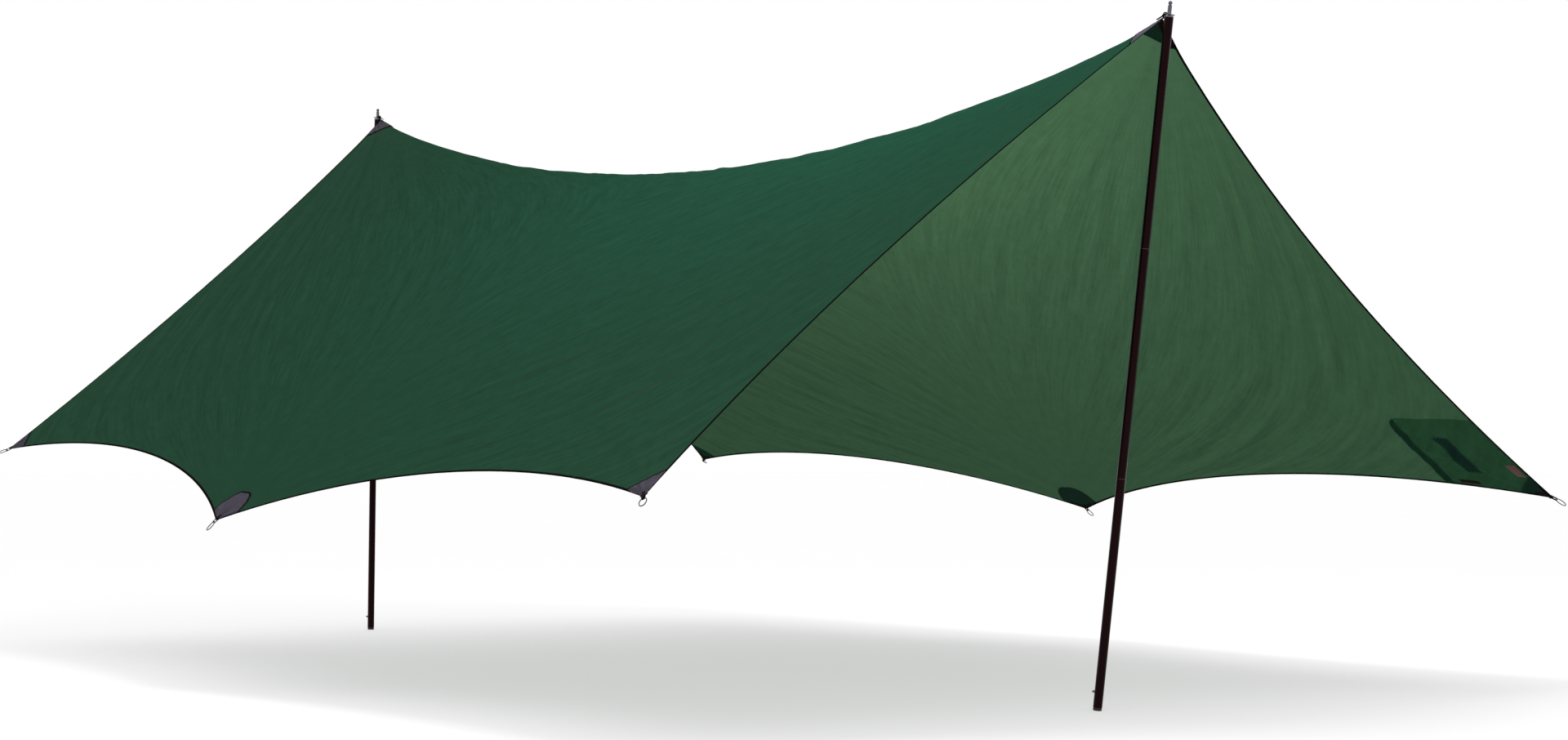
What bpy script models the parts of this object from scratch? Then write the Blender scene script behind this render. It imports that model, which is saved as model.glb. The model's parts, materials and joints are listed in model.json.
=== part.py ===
"""Tarp shelter: a sewn canopy pulled out at eight tie-outs and propped on two poles.

Metres, +Z up, ground at z = 0.  The ridge runs along X, with the front pole at +X.
The canopy's shape is found as a net in tension: each line of cloth pulls in
proportion to its length, and the hemmed edges and the ridge seam pull harder.
"""
import math

import bmesh
import bpy
import numpy as np
from mathutils import Matrix, Vector

MM = 0.001
UP = Vector((0, 0, 1))

# Tie-outs: (along, across) on the cut cloth, from -1 to 1, and the place in metres.
TIE_OUTS = {
    "rear_peak": ((-1, 0), (-2.397, 0.002, 2.164)),
    "front_peak": ((1, 0), (2.390, 0.010, 2.034)),
    "rear_right": ((-1, -1), (-2.317, -1.658, 0.758)),
    "mid_right": ((0, -1), (-0.002, -1.867, 0.536)),
    "front_right": ((1, -1), (2.327, -1.766, 0.647)),
    "rear_left": ((-1, 1), (-2.348, 1.650, 0.715)),
    "mid_left": ((0, 1), (0.014, 1.861, 0.534)),
    "front_left": ((1, 1), (2.389, 1.767, 0.615)),
}
PEAKS = ("rear_peak", "front_peak")
POLE_FEET = {"rear": (-2.342, -0.057, 0.0), "front": (2.190, -0.068, 0.0)}

# Pull of the cloth, per unit of width and length, and of what stiffens it.
PULL_ALONG = 3.2
PULL_ACROSS = 0.94
PULL_RIDGE = 17.0
RIDGE_BAND = 0.07
PULL_SIDE_HEM = 1.16
PULL_FRONT_HEM = 7.1
PULL_REAR_HEM = 8.7
NET_HALF = 16

# Cloth and trim.
CLOTH_HALF_LENGTH = 2.35
CLOTH_HALF_WIDTH = 2.22
CLOTH_T = 0.2 * MM
HEM_W = 8 * MM
HEM_T = 1.6 * MM
SEW_GAP = 0.5 * MM
LAYER_GAP = 0.7 * MM
PATCH_T = 0.5 * MM
RIDGE_GAP = 0.8 * MM
FINE_ZONE = 0.055
FINE_CELLS = 3
COARSE_LINES = (0.15, 0.30, 0.50, 0.70, 0.85)
HEM_END = 11 * MM

# Webbing loops and wire rings.
LOOP_W = 8 * MM
LOOP_T = 1.0 * MM
LOOP_LEG = 26 * MM
LOOP_HALF_GAP = 2.8 * MM
LOOP_EYE = 6 * MM
LOOP_EYE_ROOM = 0.8 * MM
PEAK_LOOP_EYE = 14 * MM
PEAK_LOOP_LIFT = 5.8 * MM
PEAK_LOOP_RISE = math.radians(25)
FOLD_STEPS = 6
RING_L = 39 * MM
RING_W = 26 * MM
RING_WIRE = 3 * MM
RING_POINTS = 20
RING_DROOP = {
    "rear_right": -12, "mid_right": 8, "front_right": 6, "rear_left": -12,
    "mid_left": 2, "front_left": 8, "rear_peak": 52, "front_peak": 57,
}

# Stow pocket on the outside of the front left corner, in cloth coordinates.
POCKET_U = (0.835, 0.978)
POCKET_V = (0.82, 0.978)
POCKET_T = 0.5 * MM
BAND_U = 0.015
STRIP_U = (0.893, 0.919)
STRIP_V = (0.868, 0.958)
LABEL_U = (0.9770, 0.9915)
LABEL_V = (0.925, 0.953)
TAG_U = (0.864, 0.896)
TAG_V = (0.982, 0.990)

# Poles.
TUBE_R = 13.75 * MM
TUBE_WALL = 1.1 * MM
LEG_R = 12.3 * MM
LEG_WALL = 1.2 * MM
LEG_LENGTH = 0.55
COUPLER_LENGTH = 0.16
TUBE_SIDES = 16
SECTIONS = 3
JOINT_GAP = 0.4 * MM
FOOT_STICKS_OUT = 9 * MM
FOOT_STEM = 25 * MM
FOOT_R = 13.2 * MM
CAP_RISE = 5 * MM
CAP_EDGE = 2 * MM
CAP_PLUG = 22 * MM
DOME_R = 8 * MM
SPIKE_R = 6 * MM
SPIKE_SHANK_R = 4 * MM
SPIKE_NECK_R = 4.4 * MM
SPIKE_HEAD = 9 * MM
SPIKE_L = 43 * MM
HEAD_OUT = 15 * MM
HEAD_DROP = 13 * MM
BUTTON_HEIGHT = 55 * MM
BUTTON_R = 3.5 * MM
BUTTON_PROUD = 7 * MM
BUTTON_BACK = 8.6 * MM
BUTTON_SIDE = Vector((-0.59, -0.807, 0))
SPRING_T = 0.8 * MM
SPRING_W = 7 * MM
SPRING_RUN = 45 * MM
SPRING_TAIL = 6 * MM

COLOURS = {
    "cloth": ((0.012, 0.060, 0.030, 1), 0.55, 0.0),
    "hem": ((0.006, 0.005, 0.006, 1), 0.75, 0.0),
    "patch": ((0.060, 0.050, 0.065, 1), 0.65, 0.0),
    "label": ((0.16, 0.09, 0.09, 1), 0.7, 0.0),
    "tube": ((0.020, 0.007, 0.008, 1), 0.35, 1.0),
    "coupler": ((0.55, 0.56, 0.57, 1), 0.4, 1.0),
    "steel": ((0.62, 0.62, 0.63, 1), 0.18, 1.0),
    "wire": ((0.10, 0.10, 0.11, 1), 0.3, 1.0),
    "plastic": ((0.01, 0.01, 0.01, 1), 0.6, 0.0),
}


def clear_scene():
    for obj in list(bpy.data.objects):
        bpy.data.objects.remove(obj, do_unlink=True)


def material(name):
    mat = bpy.data.materials.get(name)
    if mat is None:
        mat = bpy.data.materials.new(name)
        mat.use_nodes = True
        colour, roughness, metallic = COLOURS[name]
        shader = mat.node_tree.nodes["Principled BSDF"]
        shader.inputs["Base Color"].default_value = colour
        shader.inputs["Roughness"].default_value = roughness
        shader.inputs["Metallic"].default_value = metallic
    return mat


def add_object(name, data, finish, collection):
    obj = bpy.data.objects.new(name, data)
    obj.data.materials.append(material(finish))
    collection.objects.link(obj)
    return obj


# ---------------------------------------------------------------- canopy shape

def relaxed_net():
    """Places of the net's knots, as an array (along, across, xyz)."""
    half = NET_HALF
    count = 2 * half + 1
    fixed = {}
    for (along, across), place in TIE_OUTS.values():
        fixed[(along + 1) * half * count + (across + 1) * half] = place
    stiffness = np.zeros((count * count, count * count))

    def tie(a, b, pull):
        stiffness[a, a] += pull
        stiffness[b, b] += pull
        stiffness[a, b] -= pull
        stiffness[b, a] -= pull

    for row in range(count):
        across = (row - half) / half
        on_edge = row in (0, 2 * half)
        pull = PULL_ALONG + PULL_RIDGE * math.exp(-(across / RIDGE_BAND) ** 2)
        if on_edge:
            pull = 0.5 * PULL_ALONG + PULL_SIDE_HEM * half
        for col in range(count - 1):
            tie(col * count + row, (col + 1) * count + row, pull)
    hem = {0: PULL_REAR_HEM, 2 * half: PULL_FRONT_HEM}
    for col in range(count):
        pull = PULL_ACROSS
        if col in hem:
            pull = 0.5 * PULL_ACROSS + hem[col] * half
        for row in range(count - 1):
            tie(col * count + row, col * count + row + 1, pull)

    held = np.array(sorted(fixed))
    free = np.setdiff1d(np.arange(count * count), held)
    places = np.zeros((count * count, 3))
    places[held] = [fixed[k] for k in held]
    load = -stiffness[np.ix_(free, held)] @ places[held]
    places[free] = np.linalg.solve(stiffness[np.ix_(free, free)], load)
    return places.reshape(count, count, 3)


def cubic(p0, p1, p2, p3, t):
    """Catmull-Rom curve between p1 and p2."""
    return p1 + 0.5 * t * (p2 - p0 + t * (2 * p0 - 5 * p1 + 4 * p2 - p3
                                          + t * (3 * (p1 - p2) + p3 - p0)))


class Surface:
    """Smooth cloth through the net, in quarters so that the tie-outs stay sharp."""

    def __init__(self):
        net = relaxed_net()
        self.quarters = {}
        for sign_u in (-1, 1):
            for sign_v in (-1, 1):
                part_u = net[::sign_u][NET_HALF:]
                part = part_u[:, ::sign_v][:, NET_HALF:]
                self.quarters[sign_u, sign_v] = self.padded(part)

    @staticmethod
    def padded(grid):
        """One more knot beyond each side, continuing the last step."""
        low = 3 * grid[:1] - 3 * grid[1:2] + grid[2:3]
        high = 3 * grid[-1:] - 3 * grid[-2:-1] + grid[-3:-2]
        grid = np.concatenate([low, grid, high], axis=0)
        low = 3 * grid[:, :1] - 3 * grid[:, 1:2] + grid[:, 2:3]
        high = 3 * grid[:, -1:] - 3 * grid[:, -2:-1] + grid[:, -3:-2]
        return np.concatenate([low, grid, high], axis=1)

    def point(self, u, v):
        grid = self.quarters[1 if u >= 0 else -1, 1 if v >= 0 else -1]
        x = abs(u) * NET_HALF
        y = abs(v) * NET_HALF
        i = min(int(x), NET_HALF - 1)
        j = min(int(y), NET_HALF - 1)
        rows = [cubic(*grid[i:i + 4, j + k], x - i) for k in range(4)]
        return Vector(cubic(*rows, y - j))

    def normal(self, u, v):
        """Outward normal: the side that sheds the rain."""
        step = 0.004
        u0, u1 = max(u - step, -1), min(u + step, 1)
        v0, v1 = max(v - step, -1), min(v + step, 1)
        across_u = self.point(u1, v) - self.point(u0, v)
        across_v = self.point(u, v1) - self.point(u, v0)
        return across_u.cross(across_v).normalized()

    def on_facets(self, u, v):
        """Place on the canopy's own flat triangles, so that trim lies parallel to them."""
        side = 1 if v >= 0 else -1
        u_low, u_high = around(along_lines(), u)
        v_low, v_high = around(pocket_lines() if side > 0 else quarter_lines(), abs(v))
        a = (u - u_low) / (u_high - u_low)
        b = (abs(v) - v_low) / (v_high - v_low)
        start = self.point(u_low, side * v_low)
        end = self.point(u_high, side * v_high)
        corner = self.point(u_high, side * v_low) if a > b else self.point(u_low, side * v_high)
        return start + (corner - start) * abs(a - b) + (end - start) * min(a, b)

    def raised(self, u, v, height):
        return self.on_facets(u, v) + self.normal(u, v) * height



# ---------------------------------------------------------------- sheets

def around(lines, value):
    """The two neighbouring lines that a value lies between."""
    for low, high in zip(lines, lines[1:]):
        if value <= high + 1e-9:
            return low, high
    return lines[-2], lines[-1]


def quarter_lines(extra=()):
    """Lines across a quarter of the cloth, close together where trim is sewn on."""
    fine = [k * FINE_ZONE / FINE_CELLS for k in range(FINE_CELLS + 1)]
    lines = set(fine) | {1 - t for t in fine} | set(COARSE_LINES) | set(extra)
    return sorted(lines)


def sheet(name, rows, thickness, finish, collection, lines=None):
    """A closed sheet of cloth: a grid of places, thickened equally to both sides.

    Each cell is split the same way on the canopy and on the trim over it: from the
    low line along and the line nearest the ridge, to the high line and the outer one.
    """
    mesh = bpy.data.meshes.new(name)
    shape = bmesh.new()
    knots = [[shape.verts.new(place) for place in row] for row in rows]
    for i, (low, high) in enumerate(zip(knots, knots[1:])):
        for j, (a, b, c, d) in enumerate(zip(low, low[1:], high[1:], high)):
            if lines and splits_other_way(*lines, i, j):
                a, b, c, d = b, c, d, a
            shape.faces.new((a, b, c))
            shape.faces.new((a, c, d))
    bmesh.ops.recalc_face_normals(shape, faces=shape.faces)
    shape.to_mesh(mesh)
    shape.free()
    obj = add_object(name, mesh, finish, collection)
    solid = obj.modifiers.new("thickness", "SOLIDIFY")
    solid.thickness = thickness
    solid.offset = 0
    return obj


def splits_other_way(u_lines, v_lines, i, j):
    along_rises = u_lines[i + 1] > u_lines[i]
    outward = abs(v_lines[j + 1]) > abs(v_lines[j])
    return along_rises != outward


def towards(place, other, distance):
    return place + (other - place).normalized() * distance


def panel(name, surface, side, v_lines, collection):
    """Half of the canopy, from the ridge seam to the side hem, inside the hems."""
    u_lines = along_lines()
    grid = [[surface.point(u, side * v) for v in v_lines] for u in u_lines]
    inset = HEM_W + SEW_GAP
    for row in grid:
        row[0] = row[0] + Vector((0, side * RIDGE_GAP / 2, 0))
        row[-1] = towards(row[-1], row[-2], inset)
    grid[0] = [towards(a, b, inset) for a, b in zip(grid[0], grid[1])]
    grid[-1] = [towards(a, b, inset) for a, b in zip(grid[-1], grid[-2])]
    return sheet(name, grid, CLOTH_T, "cloth", collection)


def along_lines():
    quarter = quarter_lines((*POCKET_U, POCKET_U[0] + BAND_U, *STRIP_U))
    return sorted({-u for u in quarter} | set(quarter))


def across_lines():
    return sorted({-v for v in quarter_lines()} | set(pocket_lines()))


def hem(name, pairs, collection):
    """Folded binding tape along an edge: pairs of an edge place and one further in."""
    rows = [(edge, towards(edge, inner, HEM_W)) for edge, inner in pairs]
    return sheet(name, rows, HEM_T, "hem", collection)


def side_hem(name, surface, side, v_lines, collection):
    lines = along_lines()
    lines[0] += HEM_END / CLOTH_HALF_LENGTH
    lines[-1] -= HEM_END / CLOTH_HALF_LENGTH
    pairs = [(surface.point(u, side), surface.point(u, side * v_lines[-2])) for u in lines]
    return hem(name, pairs, collection)


def end_hem(name, surface, end, collection):
    lines = across_lines()
    lines[0] += HEM_END / CLOTH_HALF_WIDTH
    lines[-1] -= HEM_END / CLOTH_HALF_WIDTH
    inner = end * along_lines()[-2]
    pairs = [(surface.point(end, v), surface.point(inner, v)) for v in lines]
    return hem(name, pairs, collection)


# ---------------------------------------------------------------- tie-outs

class TieOut:
    """Place and directions of one tie-out: pull, side and outward normal."""

    def __init__(self, name, surface):
        self.name = name
        (self.u, self.v), _ = TIE_OUTS[name]
        step = FINE_ZONE / FINE_CELLS
        self.tip = surface.point(self.u, self.v)
        inner = surface.point(self.u * (1 - step), self.v * (1 - step))
        ends = []
        for du, dv in ((-1, 0), (1, 0), (0, -1), (0, 1)):
            u = self.u + du * step
            v = self.v + dv * step
            if max(abs(u), abs(v)) <= 1 and 1 in (abs(u), abs(v)):
                ends.append((surface.point(u, v) - self.tip).normalized())
        self.side = (ends[1] - ends[0]).normalized()
        pull = self.tip - inner
        pull = (pull - self.side * pull.dot(self.side)).normalized()
        self.pull = pull
        self.normal = pull.cross(self.side)
        if self.normal.z < 0:
            self.side = -self.side
            self.normal = -self.normal
        self.rise = PEAK_LOOP_RISE if name in PEAKS else 0.0
        self.reach = PEAK_LOOP_EYE if name in PEAKS else LOOP_EYE
        turn = Matrix.Rotation(-self.rise, 3, self.side)
        self.loop_pull = turn @ pull
        self.loop_normal = turn @ self.normal
        lift = PEAK_LOOP_LIFT if name in PEAKS else 0.0
        self.root = self.tip + self.normal * lift
        self.eye = self.root + self.loop_pull * self.reach


def patch(tie, surface, collection):
    """Reinforcement sewn on the rain side, over the cells nearest the tie-out."""
    lines = [k * FINE_ZONE / FINE_CELLS for k in range(FINE_CELLS + 1)]
    both_ways = [-t for t in reversed(lines[1:])] + lines
    height = CLOTH_T / 2 + LAYER_GAP + PATCH_T / 2
    u_lines = [tie.u * (1 - t) for t in lines] if tie.u else both_ways
    v_lines = [tie.v * (1 - t) for t in lines] if tie.v else both_ways
    rows = [[surface.raised(u, v, height) for v in v_lines] for u in u_lines]
    inset = HEM_W + SEW_GAP
    if tie.v:
        for row in rows:
            row[0] = towards(row[0], row[1], inset)
    if tie.u:
        rows[0] = [towards(a, b, inset) for a, b in zip(rows[0], rows[1])]
    return sheet(tie.name + "_patch", rows, PATCH_T, "patch", collection, (u_lines, v_lines))


def webbing_loop(tie, collection):
    """Webbing sewn over the tip, folded round the ring's wire."""
    middle = LOOP_HALF_GAP + LOOP_T / 2
    centre = [(tie.root - tie.pull * LOOP_LEG, tie.normal)]
    centre.append((tie.root - tie.pull * LOOP_LEG / 2, tie.normal))
    bend = (tie.normal + tie.loop_normal).normalized() / math.cos(tie.rise / 2)
    centre.append((tie.root, bend))
    turn_place = tie.eye + tie.loop_pull * LOOP_EYE_ROOM
    top = [place + normal * middle for place, normal in centre]
    bottom = [place - normal * middle for place, normal in reversed(centre)]
    fold = []
    for k in range(FOLD_STEPS + 1):
        angle = math.pi / 2 - math.pi * k / FOLD_STEPS
        out = tie.loop_pull * math.cos(angle) + tie.loop_normal * math.sin(angle)
        fold.append(turn_place + out * middle)
    half = tie.side * LOOP_W / 2
    rows = [(place - half, place + half) for place in top + fold + bottom]
    return sheet(tie.name + "_webbing", rows, LOOP_T, "hem", collection)


def wire_ring(tie, collection):
    """Oval ring of steel wire, its near end through the webbing loop."""
    droop = math.radians(RING_DROOP[tie.name])
    direction = Matrix.Rotation(droop, 3, tie.side) @ tie.loop_pull
    half_length = (RING_L - RING_WIRE) / 2
    half_width = (RING_W - RING_WIRE) / 2
    curve = bpy.data.curves.new(tie.name + "_ring", "CURVE")
    curve.dimensions = "3D"
    curve.bevel_depth = RING_WIRE / 2
    curve.bevel_resolution = 1
    spline = curve.splines.new("POLY")
    spline.points.add(RING_POINTS - 1)
    spline.use_cyclic_u = True
    for k, point in enumerate(spline.points):
        angle = 2 * math.pi * k / RING_POINTS
        place = direction * half_length * (1 - math.cos(angle))
        place = place + tie.side * half_width * math.sin(angle)
        point.co = (*place, 1)
    ring = add_object(tie.name + "_ring", curve, "wire", collection)
    ring.location = tie.eye
    return ring


# ---------------------------------------------------------------- stow pocket

def trim_sheet(name, surface, u_lines, v_lines, height, thickness, finish, collection):
    rows = [[surface.raised(u, v, height) for v in v_lines] for u in u_lines]
    return sheet(name, rows, thickness, finish, collection, (u_lines, v_lines))


def between(lines, low, high):
    return [t for t in lines if low - 1e-9 <= t <= high + 1e-9]


def stow_pocket(surface, collection):
    """Pocket over the front left corner, its mouth hem, two closure strips, a blank label."""
    u_all = along_lines()
    v_all = pocket_lines()
    panel_u = between(u_all, *POCKET_U)
    panel_v = between(v_all, *POCKET_V)
    pocket_height = CLOTH_T / 2 + 2 * LAYER_GAP + PATCH_T + POCKET_T
    trim_sheet("stow_pocket", surface, panel_u, panel_v, pocket_height,
               POCKET_T, "cloth", collection)
    mouth = between(u_all, POCKET_U[0], POCKET_U[0] + BAND_U)
    band_height = pocket_height + POCKET_T / 2 + LAYER_GAP + POCKET_T / 2
    trim_sheet("pocket_mouth_hem", surface, mouth, panel_v, band_height,
               POCKET_T, "hem", collection)
    trim_sheet("pocket_closure_strip", surface, between(u_all, *STRIP_U),
               between(v_all, *STRIP_V), band_height, POCKET_T, "hem", collection)
    under = -(CLOTH_T / 2 + LAYER_GAP + POCKET_T / 2)
    trim_sheet("hem_closure_tab", surface, TAG_U, TAG_V, under, POCKET_T, "hem", collection)
    trim_sheet("blank_label", surface, LABEL_U, LABEL_V, under, POCKET_T, "label", collection)


def pocket_lines():
    return quarter_lines((*POCKET_V, *STRIP_V))


# ---------------------------------------------------------------- poles

class Pole:
    """Axis of one pole, from the ring that its spike stands in down to its foot."""

    def __init__(self, name, tie):
        self.name = name
        outward = Vector((tie.pull.x, tie.pull.y, 0)).normalized()
        self.head = tie.eye + outward * HEAD_OUT - UP * HEAD_DROP
        foot = Vector(POLE_FEET[name])
        for _ in range(3):
            axis = (self.head - foot).normalized()
            foot.z = FOOT_R * math.sqrt(1 - axis.z ** 2)
        self.axis = axis
        self.length = (self.head - foot).length
        flat = BUTTON_SIDE - axis * BUTTON_SIDE.dot(axis)
        x_axis = flat.normalized()
        y_axis = axis.cross(x_axis)
        self.frame = Matrix((x_axis, y_axis, axis)).transposed().to_4x4()

    def place(self, obj, below):
        """Stand a piece on the axis, its own origin this far below the tube's top."""
        turned = self.frame.copy()
        turned.translation = self.head - self.axis * below
        obj.matrix_world = turned
        return obj


def turned(name, profile, finish, collection, steps=None):
    """A turned piece from its half profile of (radius, height), run down the outside."""
    steps = steps or TUBE_SIDES
    mesh = bpy.data.meshes.new(name)
    shape = bmesh.new()
    knots = [shape.verts.new((radius, 0, height)) for radius, height in profile]
    closed = min(radius for radius, _ in profile) > 0
    following = knots[1:] + knots[:1] if closed else knots[1:]
    for a, b in zip(knots, following):
        shape.edges.new((a, b))
    shape.to_mesh(mesh)
    shape.free()
    obj = add_object(name, mesh, finish, collection)
    spin = obj.modifiers.new("turn", "SCREW")
    spin.steps = steps
    spin.render_steps = steps
    spin.use_merge_vertices = True
    spin.merge_threshold = 0.00001
    return obj


def tube_profile(outer, inner, top, bottom):
    return [(outer, top), (outer, bottom), (inner, bottom), (inner, top)]


def pin_cutter(name, radius, length, cutters):
    bpy.ops.mesh.primitive_cylinder_add(vertices=12, radius=radius, depth=length)
    cutter = bpy.context.object
    cutter.name = name
    for owner in list(cutter.users_collection):
        owner.objects.unlink(cutter)
    cutters.objects.link(cutter)
    cutter.display_type = "WIRE"
    cutter.hide_render = True
    return cutter


def cut(obj, cutter):
    hole = obj.modifiers.new("button hole", "BOOLEAN")
    hole.operation = "DIFFERENCE"
    hole.solver = "EXACT"
    hole.object = cutter


def pole_tubes(pole, collection, cutter):
    """Three outer sections and the couplers inside their joints."""
    inner = TUBE_R - TUBE_WALL
    run = pole.length - FOOT_STICKS_OUT - JOINT_GAP
    step = run / SECTIONS
    for k, word in enumerate(("upper", "middle", "lower")):
        profile = tube_profile(TUBE_R, inner, -JOINT_GAP if k else 0, -step)
        obj = turned(f"{pole.name}_pole_{word}_tube", profile, "tube", collection)
        pole.place(obj, k * step)
        if word == "lower":
            cut(obj, cutter)
    for k, word in enumerate(("upper", "lower"), 1):
        half = COUPLER_LENGTH / 2
        profile = tube_profile(inner - JOINT_GAP, inner - JOINT_GAP - TUBE_WALL, half, -half)
        obj = turned(f"{pole.name}_pole_{word}_coupler", profile, "coupler", collection)
        pole.place(obj, k * step)


def pole_leg(pole, collection, cutter):
    """Inner leg that slides out of the lower tube, with its foot cap."""
    foot = pole.length
    profile = tube_profile(LEG_R, LEG_R - LEG_WALL, FOOT_STICKS_OUT + LEG_LENGTH,
                           FOOT_STICKS_OUT + JOINT_GAP)
    leg = turned(f"{pole.name}_pole_leg", profile, "tube", collection)
    pole.place(leg, foot)
    cut(leg, cutter)
    stem = LEG_R - LEG_WALL - JOINT_GAP
    profile = [(0, FOOT_STICKS_OUT + FOOT_STEM), (stem, FOOT_STICKS_OUT + FOOT_STEM),
               (stem, FOOT_STICKS_OUT), (FOOT_R, FOOT_STICKS_OUT), (FOOT_R, 0), (0, 0)]
    pole.place(turned(f"{pole.name}_pole_foot", profile, "plastic", collection), foot)


def pole_head(pole, collection):
    """End cap pressed into the upper tube, and the spike that takes the ring."""
    plug = TUBE_R - TUBE_WALL - JOINT_GAP
    bore = SPIKE_SHANK_R + JOINT_GAP
    profile = [(bore, CAP_RISE), (DOME_R, CAP_RISE), (TUBE_R, CAP_EDGE), (TUBE_R, JOINT_GAP),
               (plug, JOINT_GAP), (plug, -CAP_PLUG), (bore, -CAP_PLUG)]
    pole.place(turned(f"{pole.name}_pole_end_cap", profile, "steel", collection), 0)
    base = CAP_RISE + JOINT_GAP
    tip = base + SPIKE_L
    profile = [(0, tip)]
    for angle in (30, 60, 90):
        turn = math.radians(angle)
        profile.append((SPIKE_R * math.sin(turn), tip - SPIKE_R * (1 - math.cos(turn))))
    profile += [(SPIKE_R, tip - SPIKE_HEAD), (SPIKE_NECK_R, tip - SPIKE_HEAD - 1 * MM),
                (SPIKE_NECK_R, tip - SPIKE_HEAD - 4 * MM), (SPIKE_R, tip - SPIKE_HEAD - 5 * MM),
                (SPIKE_R, base), (SPIKE_SHANK_R, base), (SPIKE_SHANK_R, -CAP_PLUG), (0, -CAP_PLUG)]
    pole.place(turned(f"{pole.name}_pole_spike", profile, "steel", collection), 0)


def snap_button(pole, collection):
    """Button through the lock hole, on a leaf spring folded inside the leg."""
    start = BUTTON_BACK
    end = TUBE_R + BUTTON_PROUD
    length = end - start
    dome = 1.5 * MM
    profile = [(0, length), (BUTTON_R - dome, length), (BUTTON_R, length - dome),
               (BUTTON_R, 0), (0, 0)]
    name = f"{pole.name}_pole_button"
    button = turned(name, profile, "steel", collection, steps=12)
    pole.place(button, pole.length - BUTTON_HEIGHT)
    sideways = Matrix.Rotation(math.pi / 2, 4, "Y")
    button.matrix_world = button.matrix_world @ Matrix.Translation((start, 0, 0)) @ sideways
    near = start - JOINT_GAP - SPRING_T / 2
    far = -(LEG_R - LEG_WALL - JOINT_GAP * 2 - SPRING_T)
    outline = [(near, -SPRING_TAIL), (near, SPRING_RUN)]
    middle = (near + far) / 2
    for k in range(1, FOLD_STEPS):
        angle = math.pi * k / FOLD_STEPS
        radius = (near - far) / 2
        outline.append((middle + radius * math.cos(angle), SPRING_RUN + radius * math.sin(angle)))
    outline += [(far, SPRING_RUN), (far, -SPRING_TAIL)]
    rows = [(Vector((x, -SPRING_W / 2, z)), Vector((x, SPRING_W / 2, z))) for x, z in outline]
    spring = sheet(f"{pole.name}_pole_button_spring", rows, SPRING_T, "steel", collection)
    pole.place(spring, pole.length - BUTTON_HEIGHT)


def pole_assembly(name, tie, collection, cutters):
    pole = Pole(name, tie)
    cutter = pin_cutter(f"{name}_button_hole", BUTTON_R + JOINT_GAP, 2 * TUBE_R, cutters)
    pole.place(cutter, pole.length - BUTTON_HEIGHT)
    sideways = Matrix.Rotation(math.pi / 2, 4, "Y")
    cutter.matrix_world = cutter.matrix_world @ Matrix.Translation((TUBE_R + 4 * MM, 0, 0)) @ sideways
    pole_tubes(pole, collection, cutter)
    pole_leg(pole, collection, cutter)
    pole_head(pole, collection)
    snap_button(pole, collection)
    return pole


def main():
    clear_scene()
    parts = bpy.data.collections.new("tarp_shelter")
    cutters = bpy.data.collections.new("cutters")
    bpy.context.scene.collection.children.link(parts)
    bpy.context.scene.collection.children.link(cutters)
    surface = Surface()
    plain = quarter_lines()
    panel("canopy_right_panel", surface, -1, plain, parts)
    panel("canopy_left_panel", surface, 1, pocket_lines(), parts)
    side_hem("right_side_hem", surface, -1, plain, parts)
    side_hem("left_side_hem", surface, 1, pocket_lines(), parts)
    end_hem("front_end_hem", surface, 1, parts)
    end_hem("rear_end_hem", surface, -1, parts)
    ties = {name: TieOut(name, surface) for name in TIE_OUTS}
    for tie in ties.values():
        patch(tie, surface, parts)
        webbing_loop(tie, parts)
        wire_ring(tie, parts)
    stow_pocket(surface, parts)
    for name in POLE_FEET:
        pole_assembly(name, ties[name + "_peak"], parts, cutters)


main()
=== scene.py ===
import json
import math

import bmesh
import bpy
import numpy as np
from mathutils import Matrix, Vector

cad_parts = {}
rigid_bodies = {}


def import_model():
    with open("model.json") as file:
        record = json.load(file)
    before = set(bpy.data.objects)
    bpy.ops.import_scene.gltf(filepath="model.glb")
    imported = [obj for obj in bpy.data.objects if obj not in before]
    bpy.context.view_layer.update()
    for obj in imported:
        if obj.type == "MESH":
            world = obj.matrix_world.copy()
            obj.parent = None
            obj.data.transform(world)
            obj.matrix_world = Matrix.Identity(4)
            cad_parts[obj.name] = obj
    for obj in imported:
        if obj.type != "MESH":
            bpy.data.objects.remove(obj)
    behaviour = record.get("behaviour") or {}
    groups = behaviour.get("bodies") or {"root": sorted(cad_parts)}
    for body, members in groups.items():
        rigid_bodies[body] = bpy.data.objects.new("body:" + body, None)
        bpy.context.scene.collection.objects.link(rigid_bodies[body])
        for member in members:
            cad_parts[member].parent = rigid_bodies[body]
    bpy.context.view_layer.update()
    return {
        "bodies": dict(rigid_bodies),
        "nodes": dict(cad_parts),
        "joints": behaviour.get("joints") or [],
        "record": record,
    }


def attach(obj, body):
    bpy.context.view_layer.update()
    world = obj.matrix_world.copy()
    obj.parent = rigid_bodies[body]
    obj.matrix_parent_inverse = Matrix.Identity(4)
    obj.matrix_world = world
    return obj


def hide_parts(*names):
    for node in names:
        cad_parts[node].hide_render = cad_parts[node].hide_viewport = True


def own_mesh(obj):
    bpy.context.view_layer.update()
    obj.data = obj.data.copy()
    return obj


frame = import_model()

MM = 0.001

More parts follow.
